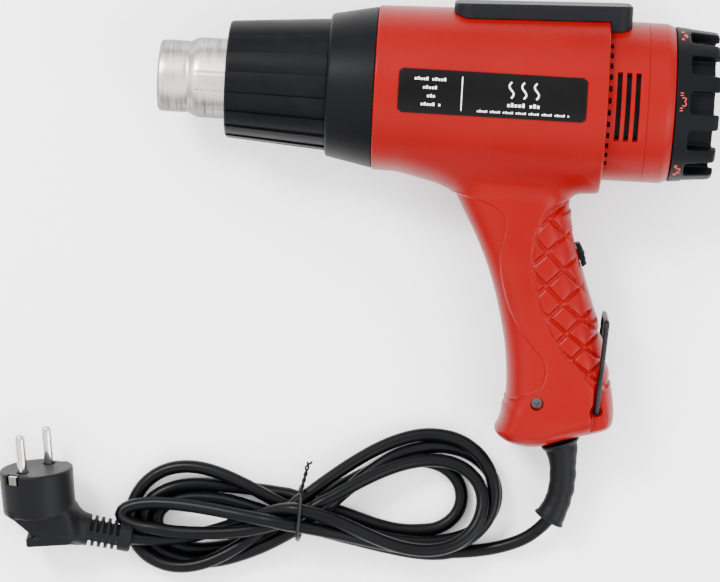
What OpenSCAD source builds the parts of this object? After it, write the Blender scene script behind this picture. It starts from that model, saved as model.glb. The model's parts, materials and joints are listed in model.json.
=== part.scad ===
// Hot air gun lying on its right side, with its mains lead tied in a hank.
// Every gun piece is drawn in the gun's own frame: X runs along the barrel from the
// nozzle's mouth to the dial, Y points to the gun's top and Z out of its left side.
// lay() then lays the gun on the bench, where it rests on its body and the handle's foot.

/* [Barrel] */
// Outer diameter of the nozzle seat, which the slip-on nozzles fit over
nozzle_d = 35; // [33:0.5:36]
// Outer diameter of the heater tube behind the nozzle's step
tube_d = 39; // [38:0.5:40]
// Wall of the steel tube
tube_wall = 0.8; // [0.6:0.1:1]
// Diameter of the heat guard at its front end
guard_front_d = 57; // [55:0.5:58]
// Diameter of the heat guard at its rear end
guard_rear_d = 64.4; // [62:0.2:65]

/* [Body] */
// Diameter of the red body at its front end
body_front_d = 80; // [78:0.5:81]
// Diameter of the red body at its rear end
body_rear_d = 86; // [84:0.5:88]
// Wall of the red housing
wall = 2.6; // [2:0.1:3]
// Diameter of the rear cap
cap_d = 77.6; // [76:0.2:78]
// Diameter of the temperature dial
dial_d = 75.4; // [72:0.2:76]
// Finger notches round the dial
dial_notches = 12; // [9:1:13]

/* [Handle] */
// Half of the handle's thickness at its foot
foot_half = 20; // [19:0.5:21]
// Travel of the thumb switch from off to full heat
switch_travel = 6; // [4:0.5:6]
// Diameter of the hanging hook's wire
hook_wire_d = 2.5; // [2:0.1:2.6]

/* [Lead] */
// Diameter of the mains lead
cord_d = 6.6; // [6:0.1:7]
// Diameter of a plug pin
pin_d = 4.8; // [4.8:0.1:4.8]

/* [Hidden] */
$fn = 96;
hull_fn = 32;

// Stations along the barrel, from the nozzle's mouth
seat_end = 13.5;
tube_start = 18;
guard_start = 33.5;
guard_end = 82.4;
collar_end = 105.5;
body_end = 217;
cap_start = 210;
cap_end = 249;
dial_start = 249.4;
dial_end = 270.4;

// How the gun lies: its side line is level, and the handle's foot touches the bench
pitch = atan((body_rear_d - body_front_d) / 2 / (body_end - collar_end));
roll = 8.06;
shift_x = -135.4;
shift_y = 81;
lift = body_front_d / 2 * cos(pitch) - collar_end * sin(pitch);

nozzle_r = nozzle_d / 2;
tube_r = tube_d / 2;
cap_r = cap_d / 2;
dial_r = dial_d / 2;
dial_bore = dial_r - 8.3;
dial_face = dial_end - 2.3;
dial_face_r = dial_r - 6.3;
notch_angle = 6.5;
cord_r = cord_d / 2;
pin_r = pin_d / 2;
wire_r = hook_wire_d / 2;
fit = 0.05;

module lay()
  translate([shift_x, shift_y, lift])
    rotate([0, -pitch, 0]) rotate([roll, 0, 0]) children();

// The same move as lay(), for a single point
function rolled(p) =
  [p[0], p[1] * cos(roll) - p[2] * sin(roll), p[1] * sin(roll) + p[2] * cos(roll)];
function pitched(p) =
  [p[0] * cos(pitch) - p[2] * sin(pitch), p[1], p[0] * sin(pitch) + p[2] * cos(pitch)];
function laid(p) = pitched(rolled(p)) + [shift_x, shift_y, lift];

// Body radius at a station along the barrel
function body_r(x) = body_front_d / 2 + (x - collar_end) * tan(pitch);

// A turned part: the outline holds [radius, station] pairs
module turned(outline) rotate([0, 90, 0]) rotate_extrude() polygon(outline);

// A round bar along the barrel
module bar(r, from, to) translate([from, 0, 0]) rotate([0, 90, 0]) cylinder(r = r, h = to - from);

// A tube along the barrel
module pipe(r, bore, from, to)
  difference() {
    bar(r, from, to);
    bar(bore, from - 1, to + 1);
  }

// ---- Skins lofted through rings of points ----

// A closed solid through equal rings, each a list of points that turns anticlockwise
// about the way from ring to ring
module loft(rings) {
  n = len(rings[0]);
  last = len(rings) - 1;
  points = [for (ring = rings, p = ring) p];
  sides = [
    for (i = [0:last - 1], j = [0:n - 1])
      let (a = i * n + j, b = i * n + (j + 1) % n)
        each [[a, b + n, b], [a, a + n, b + n]]
  ];
  near_end = [for (j = [0:n - 1]) j];
  far_end = [for (j = [n - 1:-1:0]) last * n + j];
  polyhedron(points, concat(sides, [near_end, far_end]), convexity = 6);
}

function unit(v) = v / norm(v);

// Direction of a route at point i
function heading(route, i) =
  unit(route[min(i + 1, len(route) - 1)] - route[max(i - 1, 0)]);

// A ring of points square to the route at point i
function route_ring(route, i, r, sides) =
  let (
    along = heading(route, i),
    side = unit(cross([0, 0, 1], along)),
    top = cross(along, side)
  )
    [for (k = [0:sides - 1]) route[i] + r * (cos(k * 360 / sides) * side + sin(k * 360 / sides) * top)];

// A tube along a route, with one radius per point
module hose(route, radii, sides)
  loft([for (i = [0:len(route) - 1]) route_ring(route, i, radii[i], sides)]);

// ---- Housing ----

// Handle stations from the body to the foot: [front x, front y, rear x, rear y, half thickness]
handle_stations = [
  [121, -33, 216.5, -33, 20],
  [134.5, -42.5, 216.5, -44, 17],
  [145.6, -48.5, 206, -45.5, 16.6],
  [151, -57.6, 203.4, -56, 16.5],
  [158.3, -71.9, 206.4, -69, 16.5],
  [165.8, -91.2, 213.8, -88.5, 17],
  [171.8, -110.7, 220.9, -108, 18],
  [176, -130.3, 226.4, -127.5, 19],
  [177.1, -145, 229.6, -143, 19.6],
  [176, -156, 231.3, -152, foot_half],
  [172.8, -164.5, 230.8, -159, foot_half],
  [176.5, -168.8, 228, -162.2, 18.4],
  [183, -172, 222, -163.6, 14]
];
handle_power = 2.3;
handle_sides = 24;

function signed_power(value, power) = sign(value) * pow(abs(value), power);

// One ring of the handle, drawn in by an inset
function handle_ring(s, inset) =
  let (
    front = [s[0], s[1], 0],
    rear = [s[2], s[3], 0],
    middle = (front + rear) / 2,
    reach = norm(rear - front) / 2 - inset,
    along = unit(rear - front),
    thick = s[4] - inset
  )
    [
      for (k = [0:handle_sides - 1])
        let (a = (k + 0.5) * 360 / handle_sides)
          middle + along * reach * signed_power(cos(a), 2 / handle_power)
            + [0, 0, thick * signed_power(sin(a), 2 / handle_power)]
    ];

module handle_skin() loft([for (s = handle_stations) handle_ring(s, 0)]);

// The hollow stops short of the foot's floor
module handle_hollow()
  loft([
    for (i = [0:len(handle_stations) - 3])
      let (s = handle_stations[i], rise = i == 0 ? 3 : 0)
        handle_ring([s[0], s[1] + rise, s[2], s[3] + rise, s[4]], wall)
  ]);

module body_skin()
  turned([
    [0, collar_end], [body_front_d / 2, collar_end],
    [body_rear_d / 2, body_end], [0, body_end]
  ]);

// Hollow body with a lip at the rear that holds the cap
module body_hollow() {
  turned([
    [0, collar_end - 1], [body_front_d / 2 - wall, collar_end - 1],
    [body_rear_d / 2 - wall, body_end - 3], [0, body_end - 3]
  ]);
  bar(cap_r + fit, body_end - 4, body_end + 1);
}

screw_posts = [[193, -148.5], [179, -98], [176, -56]];
screw_head_r = 2.6;
hook_pivot = [222.3, -151.2];
hook_half = 17.7;
switch_centre = [208.6, -76.3];
switch_lean = 19.8;
boot_centre = [205.9, -168.9];
boot_lean = 19.6;

// Frame of the thumb switch: X out of the handle, Y up along its rear edge
module at_switch()
  translate([switch_centre[0], switch_centre[1], 0]) rotate([0, 0, switch_lean]) children();

// Frame of the strain relief's seat: Z out of the foot
module at_boot()
  translate([boot_centre[0], boot_centre[1], 0]) rotate([90, 0, boot_lean]) children();

module housing_cuts() {
  for (post = screw_posts) {
    translate([post[0], post[1], -30]) cylinder(r = 1.6, h = 60);
  }
  // Head recesses: the foot screw goes in from the left, the others from the right
  translate([screw_posts[0][0], screw_posts[0][1], 14]) cylinder(r = screw_head_r + 0.2, h = 10);
  for (i = [1:2])
    translate([screw_posts[i][0], screw_posts[i][1], -24]) cylinder(r = screw_head_r + 0.2, h = 10);
  translate([hook_pivot[0], hook_pivot[1], -25]) cylinder(r = wire_r + fit, h = 50);
  at_switch() translate([-6, -3.4, -4.2]) cube([10, switch_travel + 6.8, 8.4]);
  at_boot() translate([0, 0, -6]) cylinder(r = 8.2, h = 12);
}

module housing() {
  difference() {
    union() {
      difference() {
        union() {
          body_skin();
          handle_skin();
        }
        body_hollow();
        handle_hollow();
      }
      for (post = screw_posts) translate([post[0], post[1], -15.5]) cylinder(r = 4.2, h = 31);
    }
    housing_cuts();
  }
}

module half_space(side) translate([0, -300, side > 0 ? 0 : -100]) cube([400, 500, 100]);

module housing_left() color("firebrick") lay() intersection() {
  housing();
  half_space(1);
}

module housing_right() color("firebrick") lay() intersection() {
  housing();
  half_space(-1);
}

// Screws with pan heads, each with a cross slot
module screw(length, shank_r, head_r, head_h)
  difference() {
    union() {
      cylinder(r = shank_r, h = length);
      translate([0, 0, length]) cylinder(r = head_r, h = head_h);
    }
    for (turn = [0, 90]) rotate([0, 0, turn])
      translate([-head_r * 0.6, -0.4, length + head_h - 1]) cube([head_r * 1.2, 0.8, 2]);
  }

module housing_screws() color("dimgray") lay() {
  translate([screw_posts[0][0], screw_posts[0][1], -12]) screw(26, 1.55, screw_head_r, 1.8);
  for (i = [1:2])
    translate([screw_posts[i][0], screw_posts[i][1], 12]) rotate([180, 0, 0])
      screw(26, 1.55, screw_head_r, 1.8);
}

// ---- Barrel ----

module nozzle_tube() color("silver") lay()
  turned([
    [nozzle_r - tube_wall, 0.3], [nozzle_r - 0.4, 0], [nozzle_r, 0.6], [nozzle_r, seat_end],
    [nozzle_r - 0.4, seat_end + 1], [tube_r, tube_start], [tube_r, 97], [tube_r + 9, 97],
    [tube_r + 9, 97.8], [tube_r - tube_wall, 97.8], [tube_r - tube_wall, tube_start + 0.2],
    [nozzle_r - tube_wall - 0.4, seat_end + 1.2], [nozzle_r - tube_wall, seat_end]
  ]);

// Heat guard, open at the front round the hot tube
guard_teeth = 18;
module barrel_guard() color("#1c1d20") lay()
  difference() {
    turned([
      [tube_r + 5, guard_start], [guard_front_d / 2 - 0.8, guard_start],
      [guard_front_d / 2, guard_start + 0.8], [guard_rear_d / 2, guard_end],
      [guard_rear_d / 2 - 2.4, guard_end], [guard_front_d / 2 - 2.4, guard_start + 2.4],
      [tube_r + 5, guard_start + 2.4]
    ]);
    for (k = [0:guard_teeth - 1]) rotate([k * 360 / guard_teeth, 0, 0])
      translate([guard_start + 1.2, guard_front_d / 2 - 0.9, -0.5])
        rotate([0, 0, atan((guard_rear_d - guard_front_d) / 2 / (guard_end - guard_start))])
          cube([60, 3, 1]);
  }

module front_collar() color("#1c1d20") lay()
  turned([
    [tube_r + 7, guard_end + 0.1], [33.2, guard_end + 0.1], [34.8, guard_end + 1.6],
    [39.2, collar_end - 0.1], [body_front_d / 2 - wall - 0.1, collar_end - 0.1],
    [body_front_d / 2 - wall - 0.1, collar_end + 6], [34, collar_end + 6],
    [32, 90], [tube_r + 7, 90]
  ]);

module heat_shield() color("lightsteelblue") lay() pipe(24.5, 24, 39, 82);

// ---- Heater ----

module mica_tube() color("wheat") lay() pipe(18, 17.5, 28, 95.5);

module mica_cross() color("tan") lay() difference() {
  union() {
    translate([26.2, -12, -0.4]) cube([69.6, 24, 0.8]);
    translate([26.2, -0.4, -12]) cube([69.6, 0.8, 24]);
  }
  bar(1.2, 24, 97);
}

coil_turns = 9;
coil_steps = 16;
coil_pitch = 6.5;
coil_r = 13.3;
coil_start = 30;
coil_wire_r = 1.15;
function coil_route() = [
  for (i = [0:coil_turns * coil_steps])
    let (a = i * 360 / coil_steps)
      [coil_start + i * coil_pitch / coil_steps, coil_r * cos(a), coil_r * sin(a)]
];

// Rings of the coil stand square to its turns
module heater_coil() color("peru") lay()
  loft([
    for (i = [0:coil_turns * coil_steps])
      let (
        a = i * 360 / coil_steps,
        centre = coil_route()[i],
        out = [0, cos(a), sin(a)]
      )
        [for (k = [0:5]) centre + coil_wire_r * (cos(k * 60) * out - sin(k * 60) * [1, 0, 0])]
  ]);

module front_disc() color("tan") lay() difference() {
  bar(tube_r - tube_wall - 0.2, 24, 26);
  for (k = [0:7]) rotate([k * 45 + 22.5, 0, 0]) translate([23, 11.5, 0])
    rotate([0, 90, 0]) cylinder(r = 3.4, h = 4);
  bar(3, 23, 27);
}

module rear_disc() color("tan") lay() difference() {
  bar(28, 98, 100);
  for (k = [0:7]) rotate([k * 45 + 22.5, 0, 0]) translate([97, 11.5, 0])
    rotate([0, 90, 0]) cylinder(r = 3.4, h = 4);
  bar(3, 97, 101);
}

module thermal_cutout() color("ivory") lay() translate([84, 2, 2]) cube([9, 5, 5]);

// ---- Blower ----

module air_duct() color("#303030") lay()
  turned([
    [19.5, 100.2], [20.8, 100.2], [35.6, 122], [35.6, 147], [34.6, 147], [34.6, 122.4], [19.5, 101.4]
  ]);

shaft_r = 1.6;
fan_blades = 9;
module fan_impeller() color("#404448") lay() {
  difference() {
    union() {
      bar(7, 128, 143);
      bar(31, 141.6, 143);
      for (k = [0:fan_blades - 1]) rotate([k * 360 / fan_blades, 0, 0])
        translate([129, 6, -0.6]) cube([13, 25, 1.2]);
    }
    bar(shaft_r, 120, 150);
  }
}

// Ring with three arms, which holds the motor in the body
module motor_mount() color("#303030") lay() {
  pipe(21, 17.55, 151, 154);
  pipe(37.4, 33, 151, 154);
  for (k = [0:2]) rotate([k * 120 + 30, 0, 0]) translate([151, 20.5, -4]) cube([3, 13, 8]);
}

module motor_can() color("silver") lay() difference() {
  bar(17.5, 150, 188);
  bar(16.5, 151, 189);
  bar(4, 149, 152);
}

module motor_magnets() color("dimgray") lay() difference() {
  pipe(16.4, 13.8, 156, 184);
  for (turn = [0, 90]) rotate([turn, 0, 0]) translate([150, -1, -20]) cube([40, 2, 40]);
}

module motor_shaft() color("silver") lay() bar(shaft_r, 124, 199);

module rotor_core() color("sienna") lay() difference() {
  union() {
    bar(13, 158, 181);
    bar(5, 183, 191);
    bar(3, 181, 183);
  }
  for (k = [0:4]) rotate([k * 72, 0, 0]) translate([157, 8, -0.8]) cube([25, 6, 1.6]);
  bar(shaft_r, 150, 195);
}

module motor_bearings() color("goldenrod") lay() {
  pipe(3.95, shaft_r + fit, 150, 154);
  pipe(3.95, shaft_r + fit, 193.5, 197);
}

module brush_holder() color("#303030") lay() difference() {
  bar(17.5, 188.1, 197);
  bar(14, 187, 193.4);
  bar(4, 192, 198);
}

// ---- Rear ----

vent_slot_x = [221, 225.4, 229.8];
window_pitch = 8.4;
cap_bore = cap_r - wall;
module rear_cap() color("firebrick") lay() difference() {
  turned([
    [cap_bore, cap_start], [cap_r, cap_start], [cap_r, cap_end - 3.4], [cap_r - 1.4, cap_end],
    [4.15, cap_end], [4.15, cap_end - wall], [cap_bore, cap_end - wall]
  ]);
  for (x = vent_slot_x, side = [0, 180]) rotate([side, 0, 0])
    translate([x, -16.4, 20]) cube([2.4, 32.8, 30]);
  // A row of small windows each side, just behind the body's lip
  for (k = [-5.5:5.5], side = [0, 180]) rotate([side + k * window_pitch, 0, 0])
    translate([body_end + 0.3, -1.4, 30]) cube([1.4, 2.8, 15]);
}

// Fine screen that keeps dust out of the slots and windows
module intake_screen() color("#1c1d20") lay() pipe(cap_bore - 0.1, cap_bore - 0.7, 211, 245);

// A rim of notches open to the rear, around a face set in from their ends
module temperature_dial() color("#1c1d20") lay() difference() {
  turned([
    [dial_bore, dial_start], [dial_r, dial_start], [dial_r - 1.6, dial_end - 1.5],
    [dial_r - 2.8, dial_end], [dial_face_r, dial_end], [dial_face_r, dial_face],
    [0, dial_face], [0, dial_face - 2.8], [dial_bore, dial_face - 2.8]
  ]);
  for (k = [0:dial_notches - 1]) rotate([k * 360 / dial_notches - notch_angle, 0, 0])
    translate([dial_start + 6.6, -5.2, dial_r - 6.5]) cube([30, 10.4, 20]);
}

// The dial's hub stands on the control's shaft
module pot_shaft() color("silver") lay() {
  bar(3, 241, 258);
  difference() {
    bar(6, 254, dial_face - 2.8);
    bar(3, 250, 258);
  }
}

module potentiometer() color("#303030") lay() difference() {
  union() {
    bar(9, 235, cap_end - 2.7);
    bar(4.1, cap_end - 3, 252.4);
    translate([235, -16, -3]) cube([2, 10, 6]);
  }
  bar(3 + fit, 240, 254);
}

module pot_nut() color("silver") lay() difference() {
  translate([cap_end + 0.1, 0, 0]) rotate([0, 90, 0]) cylinder(r = 6.6, h = 2.2, $fn = 6);
  bar(4.15, cap_end - 1, cap_end + 4);
}

// Pad along the top, on which the gun can rest upside down
pad_start = 141.6;
pad_end = 227.6;
pad_half = 19;
module top_pad() color("#26272a") lay() difference() {
  intersection() {
    rotate([-90, 0, 0]) linear_extrude(60) hull() {
      for (side = [-1, 1]) {
        translate([pad_start + 9, side * (pad_half - 9)]) circle(r = 9);
        translate([pad_end - 7, side * (pad_half - 7)]) circle(r = 7);
      }
    }
    rotate([0, 0, 2]) translate([100, -21, -40]) cube([160, 60, 80]);
  }
  turned([
    [0, 100], [body_r(100) + 0.05, 100], [body_r(body_end) + 0.05, body_end + 0.1],
    [cap_r + 0.05, body_end + 0.1], [cap_r + 0.05, 260], [0, 260]
  ]);
}

label_start = 117.3;
label_end = 206.9;
module label_plate() color("#101012") lay() intersection() {
  difference() {
    turned([[0, 110], [body_r(110) + 0.6, 110], [body_r(212) + 0.6, 212], [0, 212]]);
    turned([[0, 100], [body_r(100) + 0.02, 100], [body_r(220) + 0.02, 220], [0, 220]]);
  }
  translate([0, 0, 20]) linear_extrude(40) hull() {
    for (x = [label_start + 2, label_end - 2], y = [-6, 11]) translate([x, y]) circle(r = 2);
  }
}

// ---- Handle fittings ----

// Wire hook: two legs beside the handle and a bar behind it
hook_reach = 44.5;
hook_angle = 3;
hook_pin = 5.5;
module hanger_hook() color("#202022") lay()
  translate([hook_pivot[0], hook_pivot[1], 0]) rotate([0, 0, -hook_angle]) {
    for (side = [-1, 1]) {
      translate([0, 0, side * hook_half]) rotate([-90, 0, 0]) cylinder(r = wire_r, h = hook_reach);
      translate([0, 0, side * hook_half]) sphere(r = wire_r);
      translate([0, hook_reach, side * hook_half]) sphere(r = wire_r);
      translate([0, 0, side > 0 ? hook_half - hook_pin : -hook_half]) cylinder(r = wire_r, h = hook_pin);
    }
    translate([0, hook_reach, -hook_half]) cylinder(r = wire_r, h = 2 * hook_half);
  }

// Knob, neck and inner shutter of the thumb switch
module switch_slider() color("#141416") lay() at_switch() {
  translate([0.7, -5.8, -4.6]) cube([1.4, 11.6, 9.2]);
  for (k = [0:4]) translate([2.1, -5.4 + k * 2.4, -4.6]) cube([1.6, 1.2, 9.2]);
  translate([-8, -2.6, -2.5]) cube([8.7, 5.2, 5]);
  translate([-5.6, -11, -6]) cube([1, 17, 12]);
}

module power_switch() color("#26272a") lay() at_switch() difference() {
  translate([-24, -14, -8]) cube([16.8, 32, 16]);
  translate([-9.6, -4, -3.2]) cube([3, switch_travel + 8, 6.4]);
}

// ---- Wiring in the handle ----

module terminal_block() color("ivory") lay() translate([190, -127, -7]) rotate([0, 0, 15])
  difference() {
    cube([18, 10, 14]);
    for (x = [4.5, 13.5]) translate([x, -1, 7]) rotate([-90, 0, 0]) cylinder(r = 2, h = 12);
  }

module at_board() translate([168.5, -66, -11]) rotate([0, 0, -72]) children();

module control_board() color("darkgreen") lay() at_board() cube([24, 10, 1.6]);

module board_parts() color("#505050") lay() at_board() {
  translate([2, 1, 1.65]) cube([8, 7, 5]);
  translate([13, 1, 1.65]) cube([4, 8, 8]);
  translate([20.5, 5, 1.65]) cylinder(r = 2.8, h = 7);
}

// Saddle that grips the lead inside the foot
module cord_clamp() color("#303030") lay() translate([207, -152, 0]) rotate([0, 0, 8]) {
  difference() {
    translate([-9, -4, -8]) cube([18, 8, 16]);
    translate([0, -5, 0]) rotate([-90, 0, 0]) cylinder(r = cord_r, h = 10);
    for (x = [-6.5, 6.5]) translate([x, 0, -9]) cylinder(r = 1.3, h = 18);
  }
}

module clamp_screws() color("silver") lay() translate([207, -152, 0]) rotate([0, 0, 8])
  for (x = [-6.5, 6.5]) translate([x, 0, -6]) screw(14.2, 1.3, 2.2, 1.4);

// Rubber sleeve that guards the lead where it leaves the foot, bent by the lead's weight
boot_route = [
  [204.4, -164.7, 0], [206, -169.3, 0], [207.2, -173.5, 0], [208.1, -179, 0], [208.6, -186, 0],
  [208.3, -193, 0], [206.8, -200, 0], [204.4, -206, 0], [202.6, -209.4, 0]
];
boot_radii = [7.9, 7.9, 7.6, 6.3, 6.2, 6.2, 6.2, 6.6, 7.3];
module strain_relief() color("#1c1d20") lay() {
  hose(boot_route, boot_radii, 20);
}

// ---- Lead, hank and plug, on the bench ----

// Route of the lead from the boot's mouth to the hank
lead_route = concat([laid(boot_route[len(boot_route) - 1])], [
  [64, -131, 11], [58, -136, 9], [51, -139.6, 7], [43, -142.4, 5], [34, -144.4, 3.8], [25, -145.6, 3.4],
  [16, -146, 3.4]
]);
module cord_lead() color("#141416")
  hose(lead_route, [for (p = lead_route) cord_r], 10);

// The hank's outer shape: two lobes that meet at the tie
tie_centre = [-55, -130.5];
hank_height = 21;
plug_channel = [[-150, -158], [-116, -135]];
module hank_outline() {
  hull() {
    translate(tie_centre) circle(r = 12, $fn = hull_fn);
    translate([0, -107]) circle(r = 26, $fn = hull_fn);
    translate([6, -123]) circle(r = 27, $fn = hull_fn);
    translate([14, -109]) circle(r = 27, $fn = hull_fn);
  }
  hull() {
    translate(tie_centre) circle(r = 12, $fn = hull_fn);
    translate([-122, -127]) circle(r = 22, $fn = hull_fn);
    translate([-112, -139]) circle(r = 26, $fn = hull_fn);
  }
}

channel_size = plug_channel[1] - plug_channel[0];
module cord_hank() color("#141416") difference() {
  linear_extrude(hank_height) hank_outline();
  // Room for the plug's tail
  translate([plug_channel[0][0], plug_channel[0][1], -1])
    cube([channel_size[0], channel_size[1], hank_height + 2]);
  // The tie draws the waist in
  translate([tie_centre[0] - 1.3, tie_centre[1] - 30, -1]) difference() {
    cube([2.6, 60, hank_height + 2]);
    translate([-1, 19.4, 2.6]) cube([5, 21.2, 16.8]);
  }
}

// Wire tie round the waist, its twisted end standing up
module cord_tie() color("#101012") {
  translate([tie_centre[0] - 1.1, tie_centre[1] - 12.2, 0.1]) difference() {
    cube([2.2, 24.4, 21.4]);
    translate([-1, 1.4, 2.3]) cube([5, 21.6, 17.4]);
  }
  translate([tie_centre[0], tie_centre[1] + 11.4, 19]) rotate([-75, 0, -12]) cylinder(r = 0.9, h = 16);
}

plug_place = [-186, -115, 22.6];
plug_turn = [12, 0, 7];
tail_start = [-137.5, -147.5, 12.5];
tail_route = [
  tail_start, [-133, -147.8, 12], [-128, -147.6, 11.4], [-122, -147.2, 10.8], [-116, -146.8, 10.4]
];
module cord_tail() color("#141416")
  hose(tail_route, [for (p = tail_route) cord_r], 10);

// Frame of the plug: Y along the pins, X towards the lead
module at_plug() translate(plug_place) rotate(plug_turn) children();

pin_length = 19;
shank_r = 2;
pin_spacing = 19;
pin_line = 52;
module at_pins() at_plug() rotate([0, pin_line, 0])
  for (side = [-1, 1]) translate([side * pin_spacing / 2, 0, 0]) rotate([-90, 0, 0]) children();

module plug_body() color("#1c1d20") difference() {
  union() {
    at_plug() rotate([90, 0, 0]) cylinder(r = 18.3, h = 22);
    at_plug() hull() {
      translate([0, -21, 0]) rotate([90, 0, 0]) cylinder(r = 17, h = 1, $fn = hull_fn);
      translate([10, -36.5, 0]) rotate([90, 0, 0]) cylinder(r = 8, h = 1, $fn = hull_fn);
      translate([20, -26, 0]) sphere(r = 8, $fn = hull_fn);
    }
    tail_sleeve();
  }
  at_pins() translate([0, 0, -10]) cylinder(r = shank_r, h = 12);
  at_plug() for (side = [-1, 1]) rotate([0, pin_line + 90 * side, 0])
    translate([-4, -18, 15.2]) cube([8, 19, 6]);
}

// Ribbed sleeve between the plug and its lead
sleeve_from = [-166, -143.4, 14.4];
module tail_sleeve() {
  length = norm(tail_start - sleeve_from);
  way = tail_start - sleeve_from;
  translate(sleeve_from) rotate([0, acos(way[2] / length), atan2(way[1], way[0])]) {
    cylinder(r = 5.4, h = length);
    for (k = [0:4]) translate([0, 0, 7 + k * 3.3]) cylinder(r = 7.4, h = 1.9);
    translate([0, 0, length - 5]) cylinder(r1 = 7.4, r2 = 6.4, h = 5);
  }
}

module plug_pins() color("silver") at_pins() {
  translate([0, 0, -10]) cylinder(r = shank_r, h = 10);
  cylinder(r = pin_r, h = pin_length - 1.2);
  translate([0, 0, pin_length - 1.2]) cylinder(r1 = pin_r, r2 = pin_r - 1, h = 1.2);
}

module earth_contacts() color("silver") at_plug()
  for (side = [-1, 1]) rotate([0, pin_line + 90 * side, 0])
    translate([-2.4, -15, 15.6]) cube([4.8, 14.6, 1.6]);

housing_left();
housing_right();
front_collar();
barrel_guard();
nozzle_tube();
rear_cap();
intake_screen();
temperature_dial();
top_pad();
label_plate();
hanger_hook();
switch_slider();
power_switch();
housing_screws();
strain_relief();
cord_clamp();
clamp_screws();
heat_shield();
mica_tube();
mica_cross();
heater_coil();
front_disc();
rear_disc();
thermal_cutout();
air_duct();
fan_impeller();
motor_mount();
motor_can();
motor_magnets();
motor_shaft();
rotor_core();
motor_bearings();
brush_holder();
potentiometer();
pot_shaft();
pot_nut();
control_board();
board_parts();
terminal_block();
cord_lead();
cord_hank();
cord_tie();
cord_tail();
plug_body();
plug_pins();
earth_contacts();
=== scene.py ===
"""Looks of the heat gun that lies on its side with its lead tied in a hank."""
import json
import math

import bmesh
import bpy
import numpy as np
from mathutils import Matrix, Vector


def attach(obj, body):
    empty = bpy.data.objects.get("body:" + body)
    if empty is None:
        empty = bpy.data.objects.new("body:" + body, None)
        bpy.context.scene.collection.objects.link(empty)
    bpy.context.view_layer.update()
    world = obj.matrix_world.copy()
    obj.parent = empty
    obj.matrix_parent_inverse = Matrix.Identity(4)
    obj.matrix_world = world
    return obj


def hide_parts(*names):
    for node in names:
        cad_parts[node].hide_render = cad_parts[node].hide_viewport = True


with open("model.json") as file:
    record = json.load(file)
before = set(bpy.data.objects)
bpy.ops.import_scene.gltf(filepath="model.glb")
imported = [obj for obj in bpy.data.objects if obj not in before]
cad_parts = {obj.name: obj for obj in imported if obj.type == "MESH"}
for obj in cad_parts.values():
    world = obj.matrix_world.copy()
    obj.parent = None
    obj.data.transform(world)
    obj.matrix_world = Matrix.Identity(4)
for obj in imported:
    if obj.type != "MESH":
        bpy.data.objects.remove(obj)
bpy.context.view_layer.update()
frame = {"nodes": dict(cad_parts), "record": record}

RECORD = frame["record"]
MM = 0.001


# ---------------------------------------------------------------- frame of the gun
def joint(name):
    return next(j for j in RECORD["behaviour"]["joints"] if j["name"] == name)


def mount(name):
    return next(m for m in RECORD["mounts"] if m["name"] == name)


# X along the barrel to the dial, Z out of the gun's left side, Y to its top
ALONG = Vector(joint("dial_turn")["axis"]).normalized()
OUT = -Vector(joint("hook_swing")["axis"]).normalized()
UP = OUT.cross(ALONG).normalized()
SEAT_MIDDLE = 7.0  # station of the nozzle_seat mount, mm from the nozzle's mouth
MOUTH = Vector(mount("nozzle_seat")["pos_m"]) - ALONG * SEAT_MIDDLE * MM
GUN = Matrix((
    (ALONG.x * MM, UP.x * MM, OUT.x * MM, MOUTH.x),
    (ALONG.y * MM, UP.y * MM, OUT.y * MM, MOUTH.y),
    (ALONG.z * MM, UP.z * MM, OUT.z * MM, MOUTH.z),
    (0, 0, 0, 1),
))
BENCH = Matrix.Scale(MM, 4)


# ---------------------------------------------------------------- camera, floor, light
PHOTO_TURN = math.radians(3.37)  # the barrel runs this much downhill in the picture
CAMERA_OVER = (-0.0317, -0.0186)
CAMERA_HEIGHT = 1.59
PICTURE_WIDTH = 0.36  # width of bench that the picture spans, metres
SENSOR = 36.0  # width of a full-frame sensor, mm
FLOOR_HALF = 2.0


def make_camera():
    data = bpy.data.cameras.new("camera")
    data.sensor_width = SENSOR
    data.lens = SENSOR * CAMERA_HEIGHT / PICTURE_WIDTH
    data.clip_end = 10
    camera = bpy.data.objects.new("camera", data)
    camera.location = (*CAMERA_OVER, CAMERA_HEIGHT)
    camera.rotation_euler = (0, 0, PHOTO_TURN)
    bpy.context.scene.collection.objects.link(camera)
    bpy.context.scene.camera = camera


def area_light(name, place, target, size, power, colour=(1, 1, 1)):
    data = bpy.data.lights.new(name, "AREA")
    data.shape = "RECTANGLE"
    data.size, data.size_y = size
    data.energy = power
    data.color = colour
    light = bpy.data.objects.new(name, data)
    light.location = place
    light.rotation_euler = (Vector(target) - Vector(place)).to_track_quat("-Z", "Y").to_euler()
    bpy.context.scene.collection.objects.link(light)


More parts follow.
